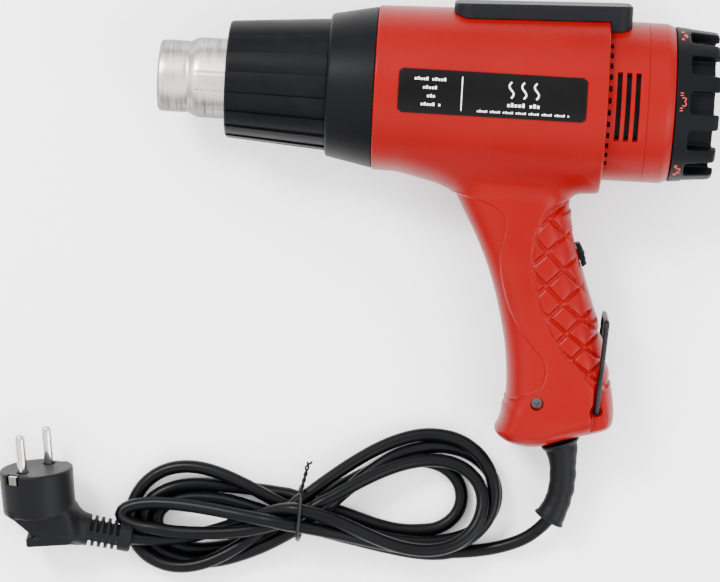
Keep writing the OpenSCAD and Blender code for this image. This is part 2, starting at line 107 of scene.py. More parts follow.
def make_stage():
    world = bpy.data.worlds.new("studio")
    world.use_nodes = True
    n = Nodes(world.node_tree)
    background = world.node_tree.nodes["Background"]
    height = n.add("ShaderNodeSeparateXYZ")
    n.link(n.add("ShaderNodeTexCoord").outputs["Generated"], height.inputs["Vector"])
    # Dim along the horizon, bright half way up, and half as bright straight above
    rising = n.ramp(height.outputs["Z"], 0.6, 4.2, 0.05, 0.65)
    falling = n.ramp(height.outputs["Z"], 1.0, 0.5, 0.8, 0.98)
    n.link(n.maths("MULTIPLY", rising, falling), background.inputs["Strength"])
    background.inputs["Color"].default_value = (1, 1, 1, 1)
    bpy.context.scene.world = world
    area_light("key", (-0.75, 0.6, 1.1), (0, 0, 0), (0.35, 0.35), 28)
    area_light("fill", (0.9, -0.5, 0.9), (0, 0, 0), (0.8, 0.8), 15)
    mesh = bpy.data.meshes.new("floor")
    corners = [(x * FLOOR_HALF, y * FLOOR_HALF, 0) for x, y in ((-1, -1), (1, -1), (1, 1), (-1, 1))]
    mesh.from_pydata(corners, [], [(0, 1, 2, 3)])
    floor = bpy.data.objects.new("floor", mesh)
    bpy.context.scene.collection.objects.link(floor)
    mesh.materials.append(floor_material())


# ---------------------------------------------------------------- materials
def new_material(name):
    material = bpy.data.materials.new(name)
    material.use_nodes = True
    tree = material.node_tree
    return material, tree, tree.nodes["Principled BSDF"]


def floor_material():
    material, tree, shader = new_material("floor")
    shader.inputs["Base Color"].default_value = (0.95, 0.95, 0.95, 1)
    shader.inputs["Roughness"].default_value = 0.6
    return material


class Nodes:
    """Short calls for building one material's nodes."""

    def __init__(self, tree):
        self.tree = tree

    def add(self, kind, **values):
        node = self.tree.nodes.new(kind)
        for key, value in values.items():
            if key in node.inputs:
                node.inputs[key].default_value = value
            else:
                setattr(node, key, value)
        return node

    def link(self, source, target):
        self.tree.links.new(source, target)

    def coords(self, stretch=(1, 1, 1)):
        """Object coordinates in millimetres, stretched per axis."""
        place = self.add("ShaderNodeTexCoord")
        scaled = self.add("ShaderNodeMapping")
        scaled.inputs["Scale"].default_value = [1000 * s for s in stretch]
        self.link(place.outputs["Object"], scaled.inputs["Vector"])
        return scaled.outputs["Vector"]

    def noise(self, vector, scale, detail=2.0, roughness=0.5):
        node = self.add("ShaderNodeTexNoise", Scale=scale, Detail=detail, Roughness=roughness)
        self.link(vector, node.inputs["Vector"])
        return node.outputs["Fac"]

    def ramp(self, value, low, high, from_low=0.0, from_high=1.0):
        node = self.add("ShaderNodeMapRange")
        node.inputs["From Min"].default_value = from_low
        node.inputs["From Max"].default_value = from_high
        node.inputs["To Min"].default_value = low
        node.inputs["To Max"].default_value = high
        self.link(value, node.inputs["Value"])
        return node.outputs["Result"]

    def mix(self, factor, one, two):
        node = self.add("ShaderNodeMix", data_type="RGBA")
        self.link(factor, node.inputs[0])
        for socket, value in ((node.inputs[6], one), (node.inputs[7], two)):
            if isinstance(value, tuple):
                socket.default_value = (*value, 1)
            else:
                self.link(value, socket)
        return node.outputs[2]

    def maths(self, operation, one, two=0.0):
        node = self.add("ShaderNodeMath", operation=operation)
        for socket, value in ((node.inputs[0], one), (node.inputs[1], two)):
            if isinstance(value, (int, float)):
                socket.default_value = value
            else:
                self.link(value, socket)
        return node.outputs[0]

    def bump(self, height, strength, distance_mm, normal=None):
        node = self.add("ShaderNodeBump", Strength=strength, Distance=distance_mm * MM)
        self.link(height, node.inputs["Height"])
        if normal is not None:
            self.link(normal, node.inputs["Normal"])
        return node.outputs["Normal"]

    def edge_wear(self, low=0.52, high=0.6):
        """1 on convex edges, from the surface's pointiness."""
        return self.ramp(self.add("ShaderNodeNewGeometry").outputs["Pointiness"], 0, 1, low, high)


def moulded(name, colour, lighter, roughness, grain_mm, grain_depth, clouding, specular):
    """Moulded plastic or rubber: spark-eroded grain, cloudy colour, rubbed edges."""
    material, tree, shader = new_material(name)
    n = Nodes(tree)
    mm = n.coords()
    clouds = n.noise(mm, 0.03, 3)
    grain = n.noise(mm, 1 / grain_mm, 2, 0.6)
    tone = n.mix(n.ramp(clouds, 0, clouding, 0.35, 0.65), colour, lighter)
    worn = n.maths("MULTIPLY", n.edge_wear(), n.ramp(n.noise(mm, 0.12, 3), 0, 0.5, 0.45, 0.7))
    n.link(n.mix(worn, tone, lighter), shader.inputs["Base Color"])
    smooth = n.ramp(clouds, roughness - 0.04, roughness + 0.05, 0.3, 0.7)
    rough = n.maths("ADD", smooth, n.ramp(grain, -0.04, 0.04))
    n.link(rough, shader.inputs["Roughness"])
    n.link(n.bump(grain, 0.35, grain_depth), shader.inputs["Normal"])
    shader.inputs["Specular IOR Level"].default_value = specular
    return material


def metal(
    name, colour, darker, roughness, brushing=(1, 1, 1), brush_scale=0.5, scratch=0.25, paint_side_shade=False
):
    """Metal brushed along one way, with smudges; its sides can get painted shade, darker than its up-facing
    top.
    """
    material, tree, shader = new_material(name)
    n = Nodes(tree)
    lines = n.noise(n.coords(brushing), brush_scale, 3, 0.6)
    smudge = n.noise(n.coords(), 0.07, 3)
    smudge_and_side_shade = n.ramp(smudge, 0, 0.6, 0.35, 0.7)
    if paint_side_shade:
        # Painted shade: the colour runs from the main colour on up-facing parts to the darker one on
        # sideways-facing parts, with brushing noise in the edge between them
        facing = n.add("ShaderNodeSeparateXYZ")
        n.link(n.add("ShaderNodeTexCoord").outputs["Normal"], facing.inputs["Vector"])
        side_shade_mask = n.maths("ADD", facing.outputs["Z"], n.ramp(lines, -0.2, 0.2, 0.3, 0.7))
        smudge_and_side_shade = n.ramp(side_shade_mask, 1, 0, 0.3, 0.95)
    n.link(n.mix(smudge_and_side_shade, colour, darker), shader.inputs["Base Color"])
    smooth = n.ramp(smudge, roughness - 0.06, roughness + 0.1, 0.3, 0.7)
    rough = n.maths("ADD", smooth, n.ramp(lines, -0.06, 0.06))
    n.link(rough, shader.inputs["Roughness"])
    n.link(n.bump(lines, scratch, 0.02), shader.inputs["Normal"])
    shader.inputs["Metallic"].default_value = 1.0
    return material


def ink_material(name, colour):
    """Printed ink with worn patches."""
    material, tree, shader = new_material(name)
    n = Nodes(tree)
    worn = n.ramp(n.noise(n.coords(), 1.4, 3), 0, 0.35, 0.5, 0.8)
    n.link(n.mix(worn, colour, tuple(c * 0.5 for c in colour)), shader.inputs["Base Color"])
    n.link(n.ramp(n.noise(n.coords(), 2.5, 2), 0.35, 0.55), shader.inputs["Roughness"])
    return material


# Moulded slots: colour, lighter colour, roughness, grain in mm, grain depth in mm, clouding, specular
MOULDED = {
    "red_plastic": ((0.155, 0.0002, 0.0005), (0.19, 0.0008, 0.0012), 0.33, 0.35, 0.04, 0.3, 0.085),
    "black_plastic": ((0.0014, 0.0015, 0.0021), (0.004, 0.0042, 0.0055), 0.45, 0.4, 0.05, 0.3, 0.06),
    "soft_black": ((0.003, 0.0032, 0.0045), (0.006, 0.0062, 0.0078), 0.5, 0.3, 0.04, 0.3, 0.08),
    "black_rubber": ((0.0014, 0.0015, 0.0021), (0.0045, 0.0047, 0.006), 0.5, 0.5, 0.05, 0.3, 0.10),
    "cord_sheath": ((0.0012, 0.0013, 0.0017), (0.003, 0.0032, 0.0038), 0.34, 0.9, 0.03, 0.3, 0.08),
    "label_film": ((0.0012, 0.0012, 0.0012), (0.003, 0.003, 0.003), 0.3, 3.0, 0.01, 0.3, 0.08),
    "inner_plastic": ((0.02, 0.02, 0.023), (0.04, 0.04, 0.045), 0.5, 0.6, 0.05, 0.25, 0.5),
    "mica": ((0.45, 0.33, 0.2), (0.6, 0.47, 0.3), 0.5, 1.2, 0.06, 0.8, 0.5),
    "ceramic_white": ((0.7, 0.68, 0.62), (0.8, 0.78, 0.74), 0.5, 0.8, 0.04, 0.25, 0.5),
    "ferrite": ((0.05, 0.05, 0.055), (0.1, 0.1, 0.11), 0.55, 0.5, 0.06, 0.25, 0.5),
    "board_green": ((0.01, 0.12, 0.035), (0.02, 0.2, 0.07), 0.35, 0.9, 0.03, 0.25, 0.5),
}
# Metal slots: colour, darker colour, roughness
METAL = {
    "black_wire": ((0.012, 0.012, 0.013), (0.03, 0.03, 0.03), 0.4),
    "black_screw": ((0.05, 0.05, 0.055), (0.13, 0.12, 0.12), 0.35),
    "zinc": ((0.20, 0.20, 0.21), (0.12, 0.12, 0.12), 0.4),
    "heater_wire": ((0.22, 0.15, 0.11), (0.1, 0.08, 0.08), 0.5),
    "copper_core": ((0.5, 0.2, 0.09), (0.25, 0.12, 0.07), 0.4),
    "bronze": ((0.45, 0.32, 0.13), (0.3, 0.2, 0.08), 0.45),
}


def make_materials():
    made = {name: moulded(name, *values) for name, values in MOULDED.items()}
    made.update({name: metal(name, *values) for name, values in METAL.items()})
    steel, side_shade_steel = (0.46, 0.445, 0.425), (0.07, 0.066, 0.062)
    # The nozzle's steel carries painted shade: the light steel colour on its up-facing top and the dark one
    # on its sides
    made["nozzle_steel"] = metal("nozzle_steel", steel, side_shade_steel, 0.33, (1, 0.06, 0.06), 0.8, 0.4, True)
    made["nickel"] = metal("nickel", (0.50, 0.47, 0.43), (0.34, 0.31, 0.28), 0.16, (1, 1, 1), 0.6, 0.12)
    return made


MATERIALS = make_materials()


# ---------------------------------------------------------------- pieces
def add_piece(name, data, slot, nodes=(), body="gun", material=None):
    """Links a mesh or curve as a piece that rides on a body and stands for CAD nodes."""
    thing = bpy.data.objects.new(name, data)
    bpy.context.scene.collection.objects.link(thing)
    data.materials.append(material or MATERIALS[slot])
    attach(thing, body)
    if nodes:
        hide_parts(*nodes)
    return thing


def add_mesh(name, mesh, slot, nodes=(), body="gun", place=GUN, material=None):
    """Sets a mesh that is in millimetres in the frame and adds it as a piece."""
    mesh.transform(place)
    mesh.update()
    return add_piece(name, mesh, slot, nodes, body, material)


def add_wires(name, lines, radius, slot, nodes=(), body="gun", place=GUN, material=None):
    """Round wires along lines of points in millimetres, as one curve."""
    curve = bpy.data.curves.new(name, "CURVE")
    curve.dimensions = "3D"
    curve.bevel_depth = radius * MM
    curve.bevel_resolution = 2 if radius < 0.5 else 5
    curve.use_fill_caps = True
    for line in lines:
        spline = curve.splines.new("POLY")
        spline.points.add(len(line) - 1)
        spline.use_smooth = True
        for point, spot in zip(spline.points, line):
            point.co = (*(place @ Vector(spot)), 1)
    return add_piece(name, curve, slot, nodes, body, material)


# ---------------------------------------------------------------- the lead
CORD_R = 3.3
STEP = 4.4  # spacing of the points that settle, mm
FINE_STEP = 2.0
ROUNDS = 260
SAG = 0.06  # how far the strands sink in each round, mm
STIFFNESS = 0.9
PASSES = 4  # times that the strands are pushed apart in each round
STRAND_GAP = 2 * CORD_R + 0.1
# Routes repeated from part.scad, in metres
LEAD_ROUTE = [
    (0.064, -0.131, 0.011), (0.058, -0.136, 0.009), (0.051, -0.1396, 0.007), (0.043, -0.1424, 0.005),
    (0.034, -0.1444, 0.0038), (0.025, -0.1456, 0.0034), (0.016, -0.146, 0.0034),
]
TAIL_ROUTE = [
    (-0.116, -0.1468, 0.0104), (-0.122, -0.1472, 0.0108), (-0.128, -0.1476, 0.0114),
    (-0.133, -0.1478, 0.012), (-0.1375, -0.1475, 0.0125),
]
BOOT_MOUTH = (202.6, -209.4, 0)  # in the gun's frame, mm
TIE = (-55.0, -130.5)
# Each loop's far tip x, its y there, and its lowest and highest y, mm
LEFT_LOOPS = [
    (-136, -136, -162, -116), (-143, -137, -164, -122), (-141, -135, -170, -102), (-160, -137, -146, -127),
]
RIGHT_LOOPS = [
    (31, -119, -150, -92), (48, -118, -146, -85), (44, -118, -149, -79), (42, -119, -154, -94),
]
LOOP_POINTS = 16


def spline_through(points, step):
    """Catmull-Rom curve through points, resampled to even steps."""
    p = np.array(points, float)
    q = np.vstack([2 * p[0] - p[1], p, 2 * p[-1] - p[-2]])
    out = []
    for i in range(1, len(q) - 2):
        a, b, c, d = q[i - 1:i + 3]
        for t in np.linspace(0, 1, 12, endpoint=False):
            square, cube = 2 * a - 5 * b + 4 * c - d, 3 * b - a - 3 * c + d
            out.append(0.5 * (2 * b + (c - a) * t + square * t**2 + cube * t**3))
    out = np.array(out + [p[-1]])
    reach = np.r_[0, np.cumsum(np.linalg.norm(np.diff(out, axis=0), axis=1))]
    count = int(round(reach[-1] / step)) + 1
    even = np.linspace(0, reach[-1], count)
    return np.stack([np.interp(even, reach, out[:, k]) for k in range(3)], 1)


def tie_slot(number):
    """Place of one pass through the tie: three rows of three."""
    spread = 2 * CORD_R + 0.2
    row = number // 3
    return (number % 3 - 1) * spread, CORD_R + 1.6 + row * spread


def tie_pass(number):
    across, height = tie_slot(number)
    return TIE[0], TIE[1] + across, height


def loop_points(loop, height, start, end):
    """One loop out from the tie and back, from pass start to pass end."""
    tip_x, tip_y, low, high = loop
    middle = (low + high) / 2
    half = (high - low) / 2
    points = []
    for k in range(1, LOOP_POINTS):
        t = k / LOOP_POINTS
        turn = 2 * math.pi * t
        reach = (1 - math.cos(turn)) / 2
        swell = math.sin(turn) * (0.55 + 0.62 * reach)
        slot = tie_slot(start if t < 0.5 else end)
        near = (1 - reach) ** 3
        x = TIE[0] + (tip_x - TIE[0]) * reach
        y = (TIE[1] + slot[0]) * near + (1 - near) * (middle * (1 - reach**4) + tip_y * reach**4)
        y += half * swell * (1 - near)
        z = slot[1] * near + height * (1 - near)
        points.append((x, y, z))
    return points


def hank_points():
    """The route of the turns: out to the left, back through the tie, out to the right."""
    points = []
    for turn, (left, right) in enumerate(zip(LEFT_LOOPS, RIGHT_LOOPS)):
        height = CORD_R + turn * 4.2
        for number, loop in ((2 * turn, left), (2 * turn + 1, right)):
            points.append(tie_pass(number))
            points += loop_points(loop, height, number, number + 1)
    return points + [tie_pass(2 * len(LEFT_LOOPS))]


def push_apart(x, way, apart, free):
    """Moves strands that lie in one another apart, across both."""
    gap = x[:, None, :] - x[None, :, :]
    far = np.sqrt((gap**2).sum(2)) + 1e-6
    i, j = np.nonzero(apart & (far < STRAND_GAP))
    across = gap[i, j]
    for along in (way[i], way[j]):
        across = across - (across * along).sum(1, keepdims=True) * along
    across[:, 2] += 0.3 * np.where(gap[i, j][:, 2] < 0, -1, 1)
    across /= np.linalg.norm(across, axis=1, keepdims=True)
    push = across * (STRAND_GAP - far[i, j])[:, None] * 0.5
    move = np.zeros_like(x)
    hits = np.zeros(len(x))
    for index, change in ((i, push), (j, -push)):
        np.add.at(move, index, change)
        np.add.at(hits, index, 1)
    x += move / np.maximum(hits, 1)[:, None] * 1.6 * free


def relax(path, held):
    """Lets a laid route settle: even links, gentle bends, no strand in another or below the bench."""
    x = path.copy()
    home = path.copy()
    link = np.linalg.norm(np.diff(path, axis=0), axis=1).mean()
    free = (~held).astype(float)[:, None]
    order = np.arange(len(x))
    apart = np.triu(np.abs(order[:, None] - order[None, :]) * link > 7 * CORD_R, 1)
    for turn in range(ROUNDS):
        ease = max(0.0, 1 - 1.25 * turn / ROUNDS)
        x[:, 2] -= SAG * free[:, 0]
        x += (np.array([0.06, 0.06, 0.02]) * ease + np.array([0.03, 0.03, 0])) * (home - x) * free
        for stride in (1, 2, 4):
            bend = x[:-4 * stride] - 4 * x[stride:-3 * stride] + 6 * x[2 * stride:-2 * stride]
            bend += x[4 * stride:] - 4 * x[3 * stride:-stride]
            x[2 * stride:-2 * stride] -= STIFFNESS / 16 * bend * free[2 * stride:-2 * stride]
        way = np.gradient(x, axis=0)
        way /= np.linalg.norm(way, axis=1, keepdims=True)
        uneven = (x[:-2] + x[2:]) / 2 - x[1:-1]
        x[1:-1] += (uneven * way[1:-1]).sum(1, keepdims=True) * way[1:-1] * free[1:-1]
        for _ in range(PASSES):
            push_apart(x, way, apart, free)
            x[:, 2] = np.where(held, x[:, 2], np.maximum(x[:, 2], CORD_R + 0.05))
    return x


def cord_path():
    mouth = GUN @ Vector(BOOT_MOUTH) / MM
    lead = [tuple(mouth)] + [tuple(c / MM for c in p) for p in LEAD_ROUTE]
    tail = [tuple(c / MM for c in p) for p in TAIL_ROUTE]
    near_tie = [(0, -145, CORD_R), (-20, -140, CORD_R), (-38, -134, 4)]
    into_tail = [(-75, -140, 13), (-95, -145, 12)]
    whole = lead + near_tie + hank_points() + into_tail + tail
    path = spline_through(whole, STEP)
    ends = (len(spline_through(lead, STEP)) - 1, len(spline_through(tail, STEP)) - 1)
    held = np.zeros(len(path), bool)
    held[:ends[0]] = True
    held[-ends[1]:] = True
    return spline_through(relax(path, held), FINE_STEP)


CORD_PATH = cord_path()


make_camera()
make_stage()
CORD = add_wires(
    "mains_lead", [CORD_PATH], CORD_R, "cord_sheath", ["cord_lead", "cord_hank", "cord_tail"], place=BENCH
)


# ---------------------------------------------------------------- solids from distance fields
def smooth_max(a, b, k):
    """The greater of two fields, with their edge rounded over k."""
    h = np.maximum(k - np.abs(a - b), 0) / k
    return np.maximum(a, b) + h * h * k / 4


def smooth_min(a, b, k):
    return -smooth_max(-a, -b, k)


def net(field, low, high, step):
    """Surface net of a distance field: vertices, quads and outward normals."""
    counts = [int(math.ceil((h - l) / step)) + 1 for l, h in zip(low, high)]
    axes = [l + step * np.arange(c) for l, c in zip(low, counts)]
    value = np.empty(counts, np.float32)
    for k in range(0, counts[0], 24):
        x, y, z = np.meshgrid(axes[0][k:k + 24], axes[1], axes[2], indexing="ij")
        value[k:k + 24] = field(x, y, z)
    inside = value < 0
    corner = [(i, j, k) for i in (0, 1) for j in (0, 1) for k in (0, 1)]
    cut = [slice(0, -1), slice(1, None)]
    some = np.zeros([c - 1 for c in counts], bool)
    every = np.ones_like(some)
    for i, j, k in corner:
        part = inside[cut[i], cut[j], cut[k]]
        some |= part
        every &= part
    cells = np.argwhere(some & ~every)
    index = np.full(some.shape, -1, np.int64)
    index[tuple(cells.T)] = np.arange(len(cells))
    total = np.zeros((len(cells), 3))
    hits = np.zeros(len(cells))
    for a in range(8):
        for b in range(a + 1, 8):
            ca, cb = np.array(corner[a]), np.array(corner[b])
            if np.abs(ca - cb).sum() != 1:
                continue
            va = value[tuple((cells + ca).T)]
            vb = value[tuple((cells + cb).T)]
            crossed = (va < 0) != (vb < 0)
            t = np.where(crossed, va / np.where(crossed, va - vb, 1), 0)
            total += np.where(crossed[:, None], ca + t[:, None] * (cb - ca), 0)
            hits += crossed
    points = np.array(low) + step * (cells + total / hits[:, None])
    quads = []
    for axis in range(3):
        one, two = [k for k in range(3) if k != axis]
        ahead = [slice(None)] * 3
        behind = [slice(None)] * 3
        ahead[axis], behind[axis] = slice(1, None), slice(0, -1)
        edge = inside[tuple(behind)] != inside[tuple(ahead)]
        at = np.argwhere(edge)
        at = at[(at[:, one] > 0) & (at[:, two] > 0)]
        at = at[(at[:, one] < counts[one] - 1) & (at[:, two] < counts[two] - 1)]
        ring = []
        for d1, d2 in ((-1, -1), (0, -1), (0, 0), (-1, 0)):
            c = at.copy()
            c[:, one] += d1
            c[:, two] += d2
            ring.append(index[tuple(c.T)])
        ring = np.stack(ring, 1)
        outward = inside[tuple(at.T)] ^ (axis == 1)
        quads.append(np.where(outward[:, None], ring, ring[:, ::-1]))
    quads = np.concatenate(quads)
    for _ in range(3):
        normals, here = slope(field, points)
        points -= np.clip(here, -step, step)[:, None] * normals
    return points, quads, slope(field, points)[0]


def slope(field, points, reach=0.06):
    """Unit gradient of a field at points, and the distance that it says."""
    x, y, z = points.T
    gradient = np.stack([
        field(x + reach, y, z) - field(x - reach, y, z),
        field(x, y + reach, z) - field(x, y - reach, z),
        field(x, y, z + reach) - field(x, y, z - reach),
    ], 1) / (2 * reach)
    size = np.maximum(np.linalg.norm(gradient, axis=1), 1e-3)
    return gradient / size[:, None], field(x, y, z) / size


def add_solid(name, field, low, high, step, slot, nodes, body="gun", place=GUN):
    """Piece made from a distance field, in millimetres, between two corners."""
    points, quads, normals = net(field, low, high, step)
    mesh = bpy.data.meshes.new(name)
    mesh.from_pydata(points, [], quads)
    mesh.shade_smooth()
    mesh.normals_split_custom_set_from_vertices(normals)
    return add_mesh(name, mesh, slot, nodes, body, place)


def cell(fine):
    return fine


# ---------------------------------------------------------------- red housing
BARREL_END = 105.5
BODY_END = 217.0
BODY_FRONT_R = 40
BODY_RISE = 3 / (BODY_END - BARREL_END)
# Side view of the handle, of its front panel's edge and of the grip's leaf, as given corners
HANDLE_EDGE = [
    (120, -20), (121, -34), (127, -39.4), (134.5, -42.4), (140, -44.9), (147.1, -49), (147.8, -50.6),
    (153.7, -61.4), (159.8, -72.8), (164.9, -84.4), (169, -96), (172.2, -107.7), (174.8, -118.5),
    (176.3, -127.8), (177.2, -136.7), (177.4, -144.2), (177.2, -150.2), (176.2, -151.2), (176, -156.2),
    (174.8, -160.6), (173, -163.6), (173.6, -166), (176.4, -168.6), (180.8, -171), (187.6, -172.5),
    (193.8, -172.4), (199, -171.2), (205.6, -168.4), (214.6, -165.9), (223.6, -163.6), (229.3, -161.5),
    (231.4, -158.2), (231.5, -151.9), (229.5, -140), (225.6, -124.8), (220.4, -106.8), (214.3, -90.8),
    (207.8, -71), (204.4, -58.4), (204.6, -55.4), (204.4, -54.2), (203.1, -53.6), (203.3, -49.6),
    (204.5, -46.6), (207.5, -44.7), (216.2, -44), (217.3, -39), (217.3, -20),
]
PANEL_EDGE = [
    (147.7, -48.3), (155, -49.2), (162.2, -50.9), (168.4, -53.5), (172, -57.6), (172.8, -62.2),
    (172.1, -67.8), (171.1, -74.7), (171.5, -82), (173.6, -92.7), (177.7, -104.2), (183.9, -114.1),
    (190.4, -121.3), (195.1, -126.2), (196.5, -132.5), (195.4, -138.7), (191.3, -143.7),
    (182.2, -146.7), (176.9, -148),
]
LEAF_EDGE = [
    (201.9, -48.7), (196.8, -50.6), (192.6, -53.6), (190, -57.4), (188.7, -61.4), (186.9, -67),
    (186.5, -72.5), (186.2, -79), (186.8, -85.2), (189.4, -96.7), (194.5, -108.9), (200.5, -119.6),
    (208.9, -129), (218.6, -136.8), (222.5, -141),
]
# Grid over the handle's side view
CELL = 0.5
FIELD_LOW = (98.0, -182.0)
FIELD_SIZE = (290, 420)


def body_radius(x):
    """Radius of the red body, which widens to its rear."""
    return BODY_FRONT_R + (x - BARREL_END) * BODY_RISE


def rounded_line(points, closed, rounds=2):
    """Corner-cutting smoothing of a polyline."""
    p = np.array(points, float)
    for _ in range(rounds):
        q = np.roll(p, -1, 0) if closed else p[1:]
        base = p if closed else p[:-1]
        mixed = np.stack([0.75 * base + 0.25 * q, 0.25 * base + 0.75 * q], 1).reshape(-1, 2)
        p = mixed if closed else np.vstack([p[:1], mixed, p[-1:]])
    return p


def signed_outline(points, x, y):
    """Distance to a closed outline, negative inside."""
    p = np.array(points, float)
    near = np.full(x.shape, 1e9)
    odd = np.zeros(x.shape, bool)
    for (ax, ay), (bx, by) in zip(p, np.roll(p, -1, 0)):
        dx, dy = bx - ax, by - ay
        t = np.clip(((x - ax) * dx + (y - ay) * dy) / max(dx * dx + dy * dy, 1e-9), 0, 1)
        near = np.minimum(near, (x - ax - t * dx) ** 2 + (y - ay - t * dy) ** 2)
        if ay != by:
            odd ^= ((ay > y) != (by > y)) & (x < ax + (y - ay) * dx / dy)
    return np.where(odd, -1, 1) * np.sqrt(near)


def grid_of(make):
    x, y = np.meshgrid(*(l + CELL * np.arange(n) for l, n in zip(FIELD_LOW, FIELD_SIZE)), indexing="ij")
    return make(x, y).astype(np.float32)


def look_up(grid, x, y):
    """Bilinear value of a grid of the handle's side view."""
    u = np.clip((x - FIELD_LOW[0]) / CELL, 0, FIELD_SIZE[0] - 1.001)
    v = np.clip((y - FIELD_LOW[1]) / CELL, 0, FIELD_SIZE[1] - 1.001)
    i, j = u.astype(int), v.astype(int)
    u, v = u - i, v - j
    return (
        grid[i, j] * (1 - u) * (1 - v) + grid[i + 1, j] * u * (1 - v)
        + grid[i, j + 1] * (1 - u) * v + grid[i + 1, j + 1] * u * v
    )


# Lattice of the grip: the heights of its knots, the line that they stand on and their spread
KNOT_Y = [-139, -126, -113, -98.9, -82.2, -65.9, -49.5]
KNOT_ROW = [6, 5, 4, 3, 2, 1, 0]
KNOT_X = [212, 208.5, 205.5, 202.6, 202, 202, 202]
KNOT_SPREAD = [14, 14.5, 15.5, 16.6, 16.8, 16.8, 16.8]
KNOT_APART = 11  # distance between crossed grooves, mm
GROOVE_DEPTH = 1.3
GROOVE_HALF = 0.85
CUSHION_RISE = 0.3
RIM_RISE = 0.6
PLAIN_STRIP_END = -100  # above here the grooves stop short of the handle's rear edge


def groove_depth(x, y, leaf, edge):
    """How deep the grip's crossed grooves cut at a point of the side view."""
    row = np.interp(y, KNOT_Y, KNOT_ROW)
    column = (x - np.interp(y, KNOT_Y, KNOT_X)) / np.interp(y, KNOT_Y, KNOT_SPREAD)
    depth = np.zeros_like(x)
    bulge = np.ones_like(x)
    for lines in (row + column, row - column):
        off = (0.5 - np.abs(lines % 1 - 0.5)) * KNOT_APART
        depth = np.maximum(depth, np.exp(-np.abs(off / GROOVE_HALF) ** 1.6))
        bulge *= 1 - np.exp(-(off / 2.6) ** 2)
    strip = np.clip((-edge - 1) / 4, 0, 1) + np.clip((PLAIN_STRIP_END - y) / 8, 0, 1)
    fade = np.clip((-leaf - 0.3) / 1.2, 0, 1) * np.minimum(strip, 1)
    rim = np.exp(-((leaf + 0.4) / 0.6) ** 2)
    return fade * (GROOVE_DEPTH * depth - CUSHION_RISE * bulge) + RIM_RISE * rim


def outline_grid(points):
    return grid_of(lambda x, y: signed_outline(points, x, y))


HANDLE_GRID = outline_grid(rounded_line(HANDLE_EDGE, True))
PANEL_GRID = outline_grid([*rounded_line(PANEL_EDGE, False), (150, -152), (150, -80), (140, -48)])
LEAF_GRID = outline_grid([*rounded_line(LEAF_EDGE, False), (240, -140), (240, -80), (215, -48)])
CARVED_GRID = grid_of(
    lambda x, y: groove_depth(x, y, look_up(LEAF_GRID, x, y), look_up(HANDLE_GRID, x, y))
)
# Half thickness of the handle and the depth of its rounded edges, by height
HALF_Y = [-172, -166, -156, -145, -130, -110, -88, -69, -50, -42, -30]
HALF_Z = [17.5, 19.6, 20.1, 19.7, 19, 18, 17, 16.5, 16.7, 18, 21]
ROUND_Y = [-172, -160, -150, -120, -60, -40]
ROUND_R = [8, 10, 13, 16.5, 16.5, 15]


def skin(x, y, z):
    """Outer skin of the housing: the body and the handle grown into each other."""
    edge = look_up(HANDLE_GRID, x, y)
    half = np.interp(y, HALF_Y, HALF_Z)
    depth = np.interp(y, ROUND_Y, ROUND_R)
    over = np.maximum(depth + edge, 0) / depth
    thick = np.abs(z) / half
    handle = ((over**2.3 + thick**2.3 + 1e-6) ** (1 / 2.3) - 1) * np.minimum(depth, half)
    handle += look_up(CARVED_GRID, x, y)
    panel = look_up(PANEL_GRID, x, y)
    handle += 0.4 * np.clip(0.5 - panel / 0.9, 0, 1) - 0.45 * np.exp(-(panel / 0.55) ** 2)
    handle = smooth_max(handle, y + 20, 3)
    return smooth_min(handle, np.hypot(y, z) - body_radius(x), 9)


def turned_box(x, y, z, middle, lean, sizes):
    """Distance to a box that is turned in the side view."""
    c, s = math.cos(math.radians(lean)), math.sin(math.radians(lean))
    u = (x - middle[0]) * c + (y - middle[1]) * s
    v = -(x - middle[0]) * s + (y - middle[1]) * c
    du, dv, dw = np.abs(u) - sizes[0], np.abs(v) - sizes[1], np.abs(z) - sizes[2]
    return np.maximum(np.maximum(du, dv), dw)


FOOT_SCREW = (193.0, -148.5)
RIGHT_SCREWS = [(179.0, -98.0), (176.0, -56.0)]
HOOK_PIVOT = (222.3, -151.2)
HOOK_COS, HOOK_SIN = math.cos(math.radians(3)), math.sin(math.radians(3))
SWITCH = (208.6, -76.3)
SWITCH_LEAN = 19.8
BOOT = (205.9, -168.9)
BOOT_LEAN = 19.6
SWITCH_SLOT = (-0.9, 2.8)  # middles of the slot and of the flat seat round it, from the switch
SWITCH_SEAT = (2.2, 4)
SHELL = 2.4


def ring_hole(x, y, at, r):
    """Distance to a round hole across the gun."""
    return np.hypot(x - at[0], y - at[1]) - r


